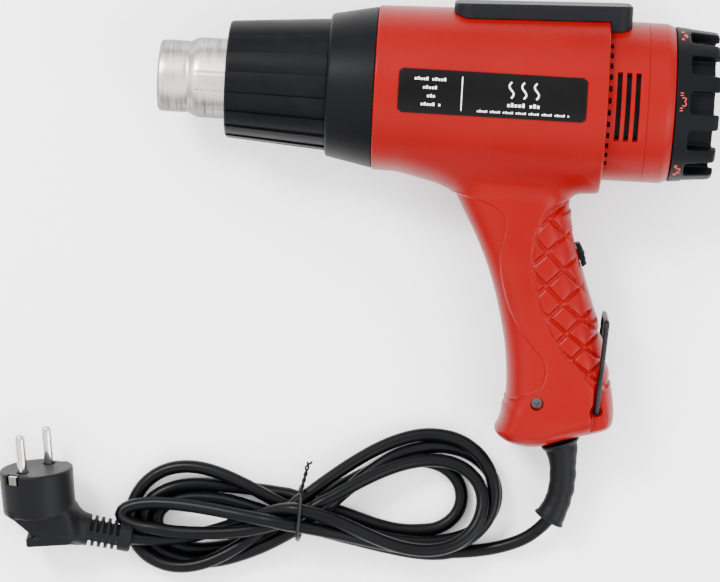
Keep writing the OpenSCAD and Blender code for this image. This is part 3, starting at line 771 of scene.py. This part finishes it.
def housing(side):
    """Field of one half of the housing; side is 1 for the left and -1 for the right."""
    def field(x, y, z):
        outer = skin(x, y, z)
        # The hook's swept recess and the dimple at its pivot
        behind = (x - HOOK_PIVOT[0]) * HOOK_COS - (y - HOOK_PIVOT[1]) * HOOK_SIN
        reach = ring_hole(x, y, HOOK_PIVOT, 47)
        swept = smooth_max(np.maximum(16.1 - np.abs(z), reach), -2.1 - behind, 1)
        outer = smooth_max(outer, -swept, 1)
        dimple = np.hypot(ring_hole(x, y, HOOK_PIVOT, 0), np.abs(z) - 18.2) - 3.6
        outer = smooth_max(outer, -dimple, 0.8)
        shell = smooth_max(outer, -(outer + SHELL), 0.6)
        for post in (FOOT_SCREW, *RIGHT_SCREWS):
            shell = np.minimum(shell, np.maximum(ring_hole(x, y, post, 4.4), outer + 1))
        ends = np.maximum(BARREL_END + 0.1 - x, np.minimum(x - BODY_END, y + 47))
        shell = smooth_max(shell, ends, 0.9)
        for post in (FOOT_SCREW, *RIGHT_SCREWS):
            headed = 1 if post == FOOT_SCREW else -1
            deep = 15.5 if headed == 1 else 14.2
            recess = np.maximum(ring_hole(x, y, post, 3.1), deep - z * headed)
            hole = np.maximum(ring_hole(x, y, post, 1.7), np.abs(z - headed * 3) - 15)
            shell = smooth_max(shell, -np.minimum(recess, hole), 0.5)
        shell = smooth_max(shell, -ring_hole(x, y, HOOK_PIVOT, 1.75), 0.5)
        for off, sizes, soft in ((SWITCH_SLOT, (5, 6.6, 4.3), 0.6), (SWITCH_SEAT, (3, 9.5, 5.2), 0.3)):
            middle = (SWITCH[0] + off[0], SWITCH[1] + off[1])
            shell = smooth_max(shell, -turned_box(x, y, z, middle, SWITCH_LEAN, sizes), soft)
        lean = math.radians(BOOT_LEAN)
        off = np.hypot((x - BOOT[0]) * math.cos(lean) + (y - BOOT[1]) * math.sin(lean), z) - 8.3
        shell = smooth_max(shell, -np.maximum(off, np.abs(y - BOOT[1]) - 9), 0.6)
        return smooth_max(shell, 0.07 - z * side, 0.5)
    return field


def make_housing():
    for name, side in (("housing_left", 1), ("housing_right", -1)):
        low, high = (-1, 46) if side == 1 else (-46, 1)
        add_solid(
            f"{name}_shell", housing(side), (103, -176, low), (234, 48, high), cell(0.65),
            "red_plastic", [name],
        )


make_housing()

# ---------------------------------------------------------------- turned parts
def rounded(outline, steps=5):
    """Closed outline of (x, r, rounding) corners, with each corner turned into an arc."""
    corners = [np.array(c[:2], float) for c in outline]
    out = []
    for i, corner in enumerate(outline):
        size = corner[2] if len(corner) > 2 else 0
        here, before, after = corners[i], corners[i - 1], corners[(i + 1) % len(corners)]
        if not size:
            out.append(here)
            continue
        back, ahead = before - here, after - here
        back = back / np.linalg.norm(back) * min(size, np.linalg.norm(back) * 0.49)
        ahead = ahead / np.linalg.norm(ahead) * min(size, np.linalg.norm(ahead) * 0.49)
        for k in range(steps + 1):
            t = k / steps
            out.append(here + back * (1 - t) ** 2 + ahead * t * t)
    return np.array(out)


def even_turn(count):
    """Evenly spaced angles round a full turn."""
    return np.arange(count) * 2 * math.pi / count


def lathe_mesh(name, outline, angles, shape=None):
    """Mesh turned about X; angle 0 looks along Z (the gun's left side), a quarter turn is up."""
    rows = []
    for angle in angles:
        radius = outline[:, 1] if shape is None else shape(outline[:, 0], outline[:, 1], angle)
        rows.append(np.stack([outline[:, 0], radius * math.sin(angle), radius * math.cos(angle)], 1))
    n, m = len(angles), len(outline)
    i, j = np.meshgrid(np.arange(n), np.arange(m), indexing="ij")
    i2, j2 = (i + 1) % n, (j + 1) % m
    quads = np.stack([i * m + j, i * m + j2, i2 * m + j2, i2 * m + j], -1).reshape(-1, 4)
    mesh = bpy.data.meshes.new(name)
    mesh.from_pydata(np.concatenate(rows), [], quads)
    return tidy_mesh(mesh)


def tidy_mesh(mesh, crease=35):
    """Merges doubled points, turns faces outward and keeps sharp edges sharp."""
    work = bmesh.new()
    work.from_mesh(mesh)
    bmesh.ops.remove_doubles(work, verts=work.verts, dist=1e-4)
    bmesh.ops.recalc_face_normals(work, faces=work.faces)
    work.to_mesh(mesh)
    work.free()
    mesh.shade_smooth()
    mesh.set_sharp_from_angle(angle=math.radians(crease))
    return mesh


def make_barrel():
    nozzle = rounded([
        (0.2, 15.2), (0, 15.9, 0.5), (0.6, 17.2, 1.2), (3.2, 17.55, 1.5), (13, 17.5, 1.5), (14.6, 17.2, 1.2),
        (18.4, 19.5, 2.4), (97, 19.5), (97, 28.5), (97.8, 28.5), (97.8, 18.7), (18.4, 18.7, 1.5),
        (14.6, 16.4, 1), (3.2, 16.7, 1.5), (1.2, 16.2, 0.6),
    ])
    creases = [math.radians(a) for a in (11, -15, -44, 100, 126, 191, 165, 136, 260, 286)]

    def creased(x, r, angle):
        off = min(abs((angle - c + math.pi) % (2 * math.pi) - math.pi) for c in creases) * 19.5
        dip = 0.4 * math.exp(-((off / 0.45) ** 2)) - 0.1 * math.exp(-(((off - 1) / 0.5) ** 2))
        return r - dip * np.clip((x - 18) / 2, 0, 1) * np.clip((60 - x) / 4, 0, 1) * (r < 20)

    mesh = lathe_mesh("nozzle", nozzle, even_turn(240), creased)
    add_mesh("nozzle", mesh, "nozzle_steel", ["nozzle_tube"])

    teeth, ramp = 18, 1.0
    guard = rounded([
        (33.5, 24.6), (33.5, 28.5, 1.6), (82.3, 32.2), (82.3, 29.7), (36, 26.1), (36, 24.6),
    ])

    def shingled(x, r, angle):
        part = ((math.degrees(angle) - 11.5) * teeth / 360) % 1
        low = ramp * (1 - part) - 0.2 * math.sin(math.pi * part)
        return r - low * np.clip((r - 26.8) / 1.2, 0, 1) * np.clip((x - 33.6) / 2, 0.35, 1)

    angles = []
    for k in range(teeth):
        for part in (0.0005, 0.2, 0.4, 0.6, 0.8, 0.97, 0.9995):
            angles.append(math.radians(11.5 + (k + part) * 360 / teeth))
    mesh = lathe_mesh("guard", guard, angles, shingled)
    add_mesh("heat_guard", mesh, "black_plastic", ["barrel_guard"])

    collar = rounded([
        (82.5, 26.6), (82.5, 34.7, 1.8), (105.4, 39.3, 0.5), (105.4, 37.25), (111.4, 37.25), (111.4, 34),
        (90, 32), (90, 26.6),
    ])
    mesh = lathe_mesh("collar", collar, even_turn(160))
    add_mesh("collar", mesh, "black_plastic", ["front_collar"])


def pierced_tube(name, stations, radii, wall, angles, hole):
    """Tube about X made of cells, with the cells that hole() names left open through the wall."""
    n, m = len(angles), len(stations) - 1
    points = []
    for inset in (0, wall):
        for angle in angles:
            for x, r in zip(stations, radii):
                points.append((x, (r - inset) * math.sin(angle), (r - inset) * math.cos(angle)))

    def at(layer, i, j):
        return (layer * n + i % n) * (m + 1) + j

    middles = [(a + ((b - a) % (2 * math.pi)) / 2) for a, b in zip(angles, np.roll(angles, -1))]
    open_cell = [[hole((stations[j] + stations[j + 1]) / 2, middles[i]) for j in range(m)] for i in range(n)]
    faces = []
    for i in range(n):
        for j in range(m):
            if open_cell[i][j]:
                continue
            faces.append((at(0, i, j), at(0, i, j + 1), at(0, i + 1, j + 1), at(0, i + 1, j)))
            faces.append((at(1, i, j), at(1, i + 1, j), at(1, i + 1, j + 1), at(1, i, j + 1)))
            if j == 0 or open_cell[i][j - 1]:
                faces.append((at(0, i, j), at(0, i + 1, j), at(1, i + 1, j), at(1, i, j)))
            if j == m - 1 or open_cell[i][j + 1]:
                faces.append((at(0, i, j + 1), at(1, i, j + 1), at(1, i + 1, j + 1), at(0, i + 1, j + 1)))
            if open_cell[i - 1][j]:
                faces.append((at(0, i, j), at(1, i, j), at(1, i, j + 1), at(0, i, j + 1)))
            if open_cell[(i + 1) % n][j]:
                faces.append((at(0, i + 1, j), at(0, i + 1, j + 1), at(1, i + 1, j + 1), at(1, i + 1, j)))
    mesh = bpy.data.meshes.new(name)
    mesh.from_pydata(points, [], faces)
    return mesh


CAP_R = 38.8
WINDOWS = 12
WINDOW_PITCH = 8.4  # windows and vents are spaced in degrees round the cap
WINDOW_HALF = 2.07
WINDOW_START = BODY_END + 0.2
WINDOW_END = BODY_END + 1.7
VENTS = (221.0, 225.4, 229.8)
VENT_WIDTH = 2.4
VENT_HALF = 25.0


def from_side(angle):
    """Degrees from the nearer side's apex."""
    return (math.degrees(angle) + 90) % 180 - 90


def cap_hole(x, angle):
    """Whether a spot on the cap is in a window or a vent."""
    off = from_side(angle)
    if WINDOW_START < x < WINDOW_END and abs(off) < WINDOWS / 2 * WINDOW_PITCH:
        return abs((off / WINDOW_PITCH) % 1 - 0.5) * WINDOW_PITCH < WINDOW_HALF
    return any(v < x < v + VENT_WIDTH for v in VENTS) and abs(off) < VENT_HALF


def make_cap():
    marks = {-VENT_HALF, VENT_HALF}
    for k in range(WINDOWS):
        middle = (k - (WINDOWS - 1) / 2) * WINDOW_PITCH
        marks |= {middle - WINDOW_HALF, middle + WINDOW_HALF}
    marks = sorted(marks | set(np.arange(53, 128, 2.5)))
    angles = np.radians(sorted(marks + [m + 180 for m in marks]))
    straight = [210, 213, WINDOW_START, WINDOW_END] + [v + d for v in VENTS for d in (0, VENT_WIDTH)]
    profile = [(x, CAP_R) for x in straight]
    profile += [(236, CAP_R), (236.25, CAP_R - 0.2), (236.5, CAP_R), (244.9, CAP_R)]
    profile += [(245.6, 38.72), (246.2, 38.5), (248.6, 37.5), (249, 37.2)]
    stations, radii = zip(*profile)
    mesh = tidy_mesh(pierced_tube("cap", stations, radii, 2.4, angles, cap_hole), 28)
    add_mesh("rear_cap_shell", mesh, "red_plastic", ["rear_cap"])
    plate = rounded([(246.5, 4.2), (246.5, 34.7), (249, 34.75), (249, 4.2)])
    add_mesh("rear_cap_plate", lathe_mesh("cap_plate", plate, even_turn(96)), "red_plastic")


make_barrel()
make_cap()


# ---------------------------------------------------------------- dial
DIAL_START = 249.4
DIAL_END = 270.4
DIAL_R = 37.7
DIAL_TAPER = 0.085
DIAL_BORE = 29.4
FACE_R = 31.6  # the rear face, set in from the ends of the ridges
FACE_INSET = 2.3
FACE_THICK = 2.7
NOTCHES = 12
NOTCH_HALF = 5.3
NOTCH_FLOOR = 31.2
NOTCH_START = DIAL_START + 6.6
MARK_ANGLE = 6.5  # where the 3 is, from the gun's left towards its top
MARK_PITCH = 60.0


def dial_field(x, y, z):
    r = np.hypot(y, z)
    wall = smooth_max(r - (DIAL_R - (x - DIAL_START) * DIAL_TAPER), (x - DIAL_START) * 0.9 + r - 54.0, 1.2)
    outside = smooth_max(smooth_max(wall, x - DIAL_END, 1.2), DIAL_START - x, 0.6)
    hollow = np.maximum(r - DIAL_BORE, x - (DIAL_END - FACE_INSET - FACE_THICK))
    shell = smooth_max(outside, -hollow, 0.8)
    shell = smooth_max(shell, -smooth_max(r - FACE_R, DIAL_END - FACE_INSET - x, 1), 0.8)
    pitch = 2 * math.pi / NOTCHES
    turn = (np.arctan2(y, z) - math.radians(MARK_ANGLE) + pitch / 2) % pitch - pitch / 2
    side = smooth_max(np.abs(r * np.sin(turn)) - NOTCH_HALF, NOTCH_START - x, 2.2)
    notch = smooth_max(side, NOTCH_FLOOR - r * np.cos(turn), 0.8)
    return smooth_max(shell, -notch, 0.8)


# Strokes of the digits 1 to 5 in a unit box, drawn as bent lines
DIGITS = [
    [(0.3, 0.8), (0.55, 1), (0.55, 0)],
    [(0.1, 0.8), (0.4, 1), (0.75, 0.85), (0.7, 0.55), (0.1, 0), (0.8, 0)],
    [(0.1, 0.88), (0.45, 1), (0.75, 0.8), (0.4, 0.54), (0.8, 0.28), (0.45, 0), (0.1, 0.12)],
    [(0.6, 0), (0.6, 1), (0.1, 0.3), (0.85, 0.3)],
    [(0.75, 1), (0.2, 1), (0.15, 0.55), (0.6, 0.6), (0.8, 0.3), (0.5, 0), (0.1, 0.1)],
]
DIGIT_SIZE = (3.2, 4.4)
DIGIT_START = 251.9


def wrap(x, around):
    """Point on the dial's skin, from its station and its distance round the dial."""
    radius = DIAL_R + 0.02 - (x - DIAL_START) * DIAL_TAPER
    angle = around / 37.5
    return x, radius * math.sin(angle), radius * math.cos(angle)


def make_dial():
    low, high = (248, -39, -39), (272, 39, 39)
    add_solid("dial", dial_field, low, high, cell(0.6), "black_plastic", ["temperature_dial"], "dial")
    lines = []
    for number, digit in enumerate(DIGITS):
        middle = math.radians(MARK_ANGLE + (number - 2) * MARK_PITCH) * 37.5
        lines.append([
            wrap(DIGIT_START + DIGIT_SIZE[0] * u, middle + DIGIT_SIZE[1] * (v - 0.5))
            for u, v in rounded_line(digit, False)
        ])
        for tick in (-3.0, -4.2, 3.0, 4.2):
            lines.append([wrap(251.2 + 1.5 * t, middle + tick) for t in (0, 0.5, 1)])
    ink = ink_material("dial_ink", (0.55, 0.02, 0.02))
    add_wires("dial_marks", lines, 0.22, "black_plastic", body="dial", material=ink)


make_dial()


# ---------------------------------------------------------------- pad on the top
def pad_field(x, y, z):
    slant = math.radians(2)
    top = -x * math.sin(slant) + y * math.cos(slant) - 39
    corner = 9 - 2 * np.clip((x - 180) / 30, 0, 1)
    dx = np.abs(x - 184.6) - (43 - corner)
    dz = np.abs(z) - (19 - corner)
    plan = np.hypot(np.maximum(dx, 0), np.maximum(dz, 0)) + np.minimum(np.maximum(dx, dz), 0) - corner
    body = np.hypot(y, z) - np.where(x < BODY_END + 0.15, body_radius(x), CAP_R) - 0.12
    return smooth_max(smooth_max(plan, top, 1.4), smooth_max(-body, 20 - y, 1), 0.5)


def make_pad():
    low, high = (140.5, 30, -20), (229, 48.5, 20)
    add_solid("top_pad_moulding", pad_field, low, high, cell(0.6), "soft_black", ["top_pad"])


make_pad()


# ---------------------------------------------------------------- label
LABEL_X = (117.3, 206.9)
LABEL_Y = (-8, 13)
LABEL_LIFT = 0.42
LABEL_THICK = 0.36
LABEL_CORNER = 2
LABEL_CELLS = (60, 16)
# Generic print, rows of dashes either side of a rule: middle, length, height up the label, letter height
PRINT_ROWS = [
    (133, 17, 8.6, 1.5), (133, 9, 4.6, 1.5), (133, 5, 0.6, 1.5), (133, 10.5, -3.4, 1.5),
    (177, 17, -1.6, 1.9), (177, 44, -5.3, 1.1),
]
RULE = (147.3, 147.8, -5.7, 10.4)


def on_body(x, y, lift):
    """Point above the body's left side, seen from the side at x, y."""
    return x, y, math.sqrt((body_radius(x) + lift) ** 2 - y * y)


def make_film():
    """The label's film, with rounded corners, bent round the body."""
    cx, cy = sum(LABEL_X) / 2, sum(LABEL_Y) / 2
    hx, hy = (LABEL_X[1] - LABEL_X[0]) / 2, (LABEL_Y[1] - LABEL_Y[0]) / 2
    work = bmesh.new()
    grid = {}
    for layer, lift in enumerate((LABEL_LIFT - LABEL_THICK, LABEL_LIFT)):
        for i, a in enumerate(np.linspace(-1, 1, LABEL_CELLS[0] + 1)):
            for j, b in enumerate(np.linspace(-1, 1, LABEL_CELLS[1] + 1)):
                over = max(abs(b) * hy - (hy - LABEL_CORNER), 0)
                narrow = LABEL_CORNER - math.sqrt(max(LABEL_CORNER**2 - over**2, 0))
                grid[layer, i, j] = work.verts.new(on_body(cx + a * (hx - narrow), cy + b * hy, lift))

    def face(*corners):
        work.faces.new([grid[c] for c in corners])

    for i in range(LABEL_CELLS[0]):
        for j in range(LABEL_CELLS[1]):
            for k in (0, 1):
                face((k, i, j), (k, i + 1, j), (k, i + 1, j + 1), (k, i, j + 1))
        for j in (0, LABEL_CELLS[1]):
            face((0, i, j), (0, i + 1, j), (1, i + 1, j), (1, i, j))
    for j in range(LABEL_CELLS[1]):
        for i in (0, LABEL_CELLS[0]):
            face((0, i, j), (0, i, j + 1), (1, i, j + 1), (1, i, j))
    mesh = bpy.data.meshes.new("label_film")
    work.to_mesh(mesh)
    work.free()
    add_mesh("label_film", tidy_mesh(mesh), "label_film", ["label_plate"])


def print_blocks():
    """The print's small bars, as their left, right, low and high edges."""
    blocks = [RULE]
    for middle, length, y, high in PRINT_ROWS:
        wide = high * 0.62
        count = int(length / (wide * 1.5))
        for k in range(count):
            if k % 6 == 5:
                continue
            x = middle + (k - (count - 1) / 2) * wide * 1.5
            low = y - high * 0.5
            tall = high * (1 if k % 3 == 1 else 0.72)
            blocks.append((x - wide / 2, x + wide / 2, low, low + tall))
    return blocks


def make_print(ink):
    """Small raised bars of print on the label, all in one mesh."""
    work = bmesh.new()
    for left, right, low, high in print_blocks():
        rows = np.linspace(low, high, max(2, int((high - low) / 2) + 2))
        under, over = (
            [[work.verts.new(on_body(x, y, lift)) for x in (left, right)] for y in rows]
            for lift in (0.36, 0.47)
        )
        for c, d, a, b in zip(under, under[1:], over, over[1:]):
            work.faces.new([a[0], a[1], b[1], b[0]])
            work.faces.new([c[0], d[0], d[1], c[1]])
            work.faces.new([c[0], a[0], b[0], d[0]])
            work.faces.new([c[1], d[1], b[1], a[1]])
        for k in (0, -1):
            work.faces.new([over[k][0], under[k][0], under[k][1], over[k][1]])
    mesh = bpy.data.meshes.new("label_print")
    work.to_mesh(mesh)
    work.free()
    add_mesh("label_print", tidy_mesh(mesh), "label_film", material=ink)


def make_label():
    make_film()
    ink = ink_material("label_ink", (0.72, 0.72, 0.72))
    make_print(ink)
    waves = [
        [on_body(171 + 6 * k + 1.1 * math.sin(t * 2 * math.pi), 1.6 + 7.6 * t, LABEL_LIFT)
         for t in np.linspace(0, 1, 24)]
        for k in range(3)
    ]
    add_wires("label_heat_sign", waves, 0.45, "label_film", material=ink)


make_label()


# ---------------------------------------------------------------- hook, switch, boot
HOOK_REACH = 44.5
HOOK_HALF = 17.7
HOOK_PIN = 5.5
HOOK_WIRE_R = 1.25


def make_hook():
    inner = HOOK_HALF - HOOK_PIN
    line = rounded([
        (0, inner), (0, HOOK_HALF, 1.6), (HOOK_REACH, HOOK_HALF, 2.4), (HOOK_REACH, -HOOK_HALF, 2.4),
        (0, -HOOK_HALF, 1.6), (0, -inner),
    ], 8)
    fine = []
    for a, b in zip(line, line[1:]):
        steps = max(1, int(np.linalg.norm(b - a) / 3))
        fine += [a + (b - a) * k / steps for k in range(steps)]
    fine.append(line[-1])
    points = [(HOOK_PIVOT[0] + v * HOOK_SIN, HOOK_PIVOT[1] + v * HOOK_COS, w) for v, w in fine]
    add_wires("hook_wire", [points], HOOK_WIRE_R, "black_wire", ["hanger_hook"], "hook")


TOOTH_PITCH = 1.3


def switch_field(x, y, z):
    """The knob in its own frame: a plate with a toothed block on it, its neck and its inner leaf."""
    plate = np.maximum(np.maximum(np.abs(x - 1.3) - 0.7, np.abs(y) - 5.8), np.abs(z) - 4.6)
    teeth = 2.3 + 3.2 * np.abs((y / TOOTH_PITCH) % 1 - 0.5) - 0.015 * y * y
    block = np.maximum(np.maximum(x - teeth, 1.0 - x), np.maximum(np.abs(y) - 5.5, np.abs(z) - 4.3))
    knob = smooth_min(plate, block * 0.4, 0.2)
    neck = np.maximum(np.maximum(np.abs(x + 3.6) - 4.4, np.abs(y) - 2.6), np.abs(z) - 2.5)
    leaf = np.maximum(np.maximum(np.abs(x + 5.1) - 0.5, np.abs(y + 2.5) - 8.5), np.abs(z) - 6)
    return np.minimum(knob, np.minimum(neck, leaf))


def make_switch():
    turn = Matrix.Rotation(math.radians(SWITCH_LEAN), 4, "Z")
    place = GUN @ Matrix.Translation((*SWITCH, 0)) @ turn
    low, high = (-6.2, -11.6, -6.6), (4.2, 7, 6.6)
    nodes = ["switch_slider"]
    add_solid("switch_knob", switch_field, low, high, 0.34, "black_plastic", nodes, "slider", place)


BOOT_ROUTE = [
    (204.4, -164.7), (206, -169.3), (207.2, -173.5), (208.1, -179), (208.6, -186), (208.3, -193),
    (206.8, -200), (204.4, -206), (202.6, -209.4),
]
BOOT_RADII = [7.9, 7.9, 7.6, 6.5, 6.3, 6.2, 6.2, 6.7, 7.4]


def boot_field(x, y, z):
    """The rubber boot: a bent taper with a lip at its mouth, a flange in the handle and a pinch mark."""
    best = np.full(x.shape, 1e3)
    route = np.array(BOOT_ROUTE)
    for a, b, ra, rb in zip(route, route[1:], BOOT_RADII, BOOT_RADII[1:]):
        d = b - a
        t = ((x - a[0]) * d[0] + (y - a[1]) * d[1]) / (d @ d)
        t = np.clip(t, 0, 1)
        radius = ra + (rb - ra) * t
        off = np.sqrt((x - a[0] - t * d[0]) ** 2 + (y - a[1] - t * d[1]) ** 2 + z * z) - radius
        best = smooth_min(best, off, 1.5)
    end = route[-1]
    way = (route[-1] - route[-2]) / np.linalg.norm(route[-1] - route[-2])
    along = (x - end[0]) * way[0] + (y - end[1]) * way[1]
    lip = np.sqrt(np.maximum((x - end[0]) ** 2 + (y - end[1]) ** 2 - along**2, 0) + z * z)
    best = smooth_min(best, smooth_max(lip - 7.9, np.abs(along + 0.9) - 0.8, 0.8), 1.2)
    best = smooth_max(best, along + 0.1, 0.8)
    lean = math.radians(BOOT_LEAN)
    u = (x - BOOT[0]) * math.cos(lean) + (y - BOOT[1]) * math.sin(lean)
    v = -(x - BOOT[0]) * math.sin(lean) + (y - BOOT[1]) * math.cos(lean)
    flange = smooth_max(np.hypot(u, z * 0.85) - 9.6 - 0.3 * (v + 1.2), np.abs(v + 1.3) - 0.9, 0.8)
    best = smooth_min(best, flange, 2.0)
    best = smooth_max(best, v - 4.6, 0.5)
    pinch = np.exp(-(((along + 5) / 4) ** 2)) * np.exp(-(((u + 1.5) / 1.1) ** 2)) * (z > 0)
    return best + 0.9 * pinch


def make_boot():
    low, high = (190, -213, -12), (220, -160, 12)
    add_solid("boot", boot_field, low, high, cell(0.55), "black_rubber", ["strain_relief"])


make_hook()
make_switch()
make_boot()


# ---------------------------------------------------------------- plug and tie
PLUG_TURN = Matrix.Rotation(math.radians(7), 4, "Z") @ Matrix.Rotation(math.radians(12), 4, "X")
PLUG = Matrix.Translation((-186, -115, 22.6)) @ PLUG_TURN
PIN_LINE = math.radians(52)
PIN_OUT = 9.5
SLEEVE = ((-166, -143.4, 14.4), (-137.5, -147.5, 12.5))
GROOVE_PITCH = 3.3


def plug_field(x, y, z):
    """The angled plug: a round head on a wedge, and a sleeve with strain grooves for the cord."""
    u, v, w = (row[0] * x + row[1] * y + row[2] * z + row[3] for row in np.array(PLUG.inverted())[:3])
    r = np.hypot(u, w)
    flats = np.abs(u * math.cos(PIN_LINE) - w * math.sin(PIN_LINE)) - 17.6
    head = smooth_max(smooth_max(r - 18.25 - 0.02 * v, flats, 0.8), smooth_max(v, -22 - v, 0.5), 1.4)
    base = smooth_max(np.abs(w) - 12.5 - 0.16 * (v + 22), np.maximum(u - 19, -20 - u), 3)
    base = smooth_max(base, np.maximum(v + 19, -36.2 - v), 3)
    base = smooth_max(base, -0.72 * (u + 15.6) - 0.69 * (v + 19.5), 2)
    base = smooth_max(base, r - 19.5, 3)
    heel = smooth_max(smooth_max(np.abs(w) - 11.2, np.abs(u - 4) - 11, 1.5), np.abs(v + 35.2) - 2.2, 1)
    body = smooth_min(smooth_min(head, base, 1.2), heel, 0.4)
    a, b = np.array(SLEEVE[0], float), np.array(SLEEVE[1], float)
    way = (b - a) / np.linalg.norm(b - a)
    length = np.linalg.norm(b - a)
    along = (x - a[0]) * way[0] + (y - a[1]) * way[1] + (z - a[2]) * way[2]
    px, py, pz = x - a[0] - along * way[0], y - a[1] - along * way[1], z - a[2] - along * way[2]
    off = np.sqrt(px * px + py * py + pz * pz)
    flat = 0.85 * np.abs(pz) + 0.2 * off
    sleeve = np.maximum(off - 8.1 + 0.03 * along, flat - 7.6)
    body = smooth_min(body, smooth_max(sleeve, np.maximum(-16 - along, along - length), 1.6), 7)
    place = (along - 8.4) / GROOVE_PITCH
    beat = np.abs(place - np.round(np.clip(place, 0, 4))) * GROOVE_PITCH - 0.75
    across = -px * way[1] + py * way[0]
    bars = 1.6 - np.abs(across + 1.6)
    groove = smooth_max(smooth_max(beat, 5.3 - off, 0.6), np.maximum(bars, np.abs(along - 15) - 9), 0.6)
    body = smooth_max(body, -groove, 0.6)
    for side in (-1, 1):
        turn = PIN_LINE + side * math.pi / 2
        aside = u * math.cos(turn) - w * math.sin(turn)
        out = u * math.sin(turn) + w * math.cos(turn)
        pocket = np.maximum(np.maximum(np.abs(aside) - 4, 15.2 - out), -4.5 - v)
        body = smooth_max(body, -pocket, 0.7)
        middle = (side * PIN_OUT * math.cos(PIN_LINE), -side * PIN_OUT * math.sin(PIN_LINE))
        pin = np.hypot(u - middle[0], w - middle[1])
        body = smooth_max(body, -np.maximum(pin - 3.1, -0.6 - v), 0.4)
        body = np.maximum(body, -np.maximum(pin - 2.05, -10.5 - v))
    return body


def make_plug():
    low, high = (-208, -160, 0.1), (-133, -104, 44)
    nodes = ["plug_body"]
    add_solid("plug_moulding", plug_field, low, high, cell(0.5), "black_rubber", nodes, place=BENCH)
    outline = rounded([
        (-10, 0), (-10, 1.98), (-0.8, 1.98), (-0.8, 2.4, 0.3), (17.2, 2.4, 1.2), (18.8, 1.7, 0.8), (19, 0),
    ])
    for number, side in enumerate((-1, 1)):
        mesh = lathe_mesh(f"pin_{number}", outline, even_turn(40))
        turn = PLUG @ Matrix.Rotation(PIN_LINE, 4, "Y") @ Matrix.Translation((side * PIN_OUT, 0, 0))
        place = BENCH @ turn @ Matrix.Rotation(math.pi / 2, 4, "Z")
        add_mesh(f"plug_pin_{number}", mesh, "nickel", ["plug_pins"] if number == 0 else (), place=place)


def make_tie():
    """A wire ring squeezed round the strands, with its two ends twisted together."""
    near = CORD_PATH[np.abs(CORD_PATH[:, 0] - TIE[0]) < 2.5]
    low_y, high_y = near[:, 1].min() - CORD_R - 1.0, near[:, 1].max() + CORD_R + 1.0
    low_z, high_z = 1.0, near[:, 2].max() + CORD_R + 1.0
    ring = []
    for k in range(49):
        a = 2 * math.pi * k / 48 - math.pi / 2
        out, up = (math.copysign(abs(c) ** 0.6, c) for c in (math.cos(a), math.sin(a)))
        y = (low_y + high_y) / 2 + (high_y - low_y) / 2 * out
        z = (low_z + high_z) / 2 + (high_z - low_z) / 2 * up
        ring.append((TIE[0] + 0.6 * math.sin(a * 2), y, z))
    add_wires("tie_wire", [ring], 0.9, "black_wire", ["cord_tie"], place=BENCH)
    start = np.array([TIE[0], high_y - 2, high_z - 3])
    for number in (0, 1):
        line = []
        for t in np.linspace(0, 1, 40):
            a = t * 5 * math.pi + number * math.pi
            wide = 0.55 + max(t - 0.7, 0) * 3 * number
            centre = start + np.array([3.2, 15.5, 3.4]) * t
            line.append(centre + np.array([math.cos(a) * wide, 0, math.sin(a) * wide]))
        add_wires(f"tie_end_{number}", [line], 0.55, "black_wire", place=BENCH)


make_plug()
make_tie()

# ---------------------------------------------------------------- carried-over CAD nodes
SLOTS = {s["node"]: s["material_slot"] for s in RECORD["subparts"]}
for node_name, node_object in frame["nodes"].items():
    node_object.data.materials.clear()
    node_object.data.materials.append(MATERIALS[SLOTS[node_name]])
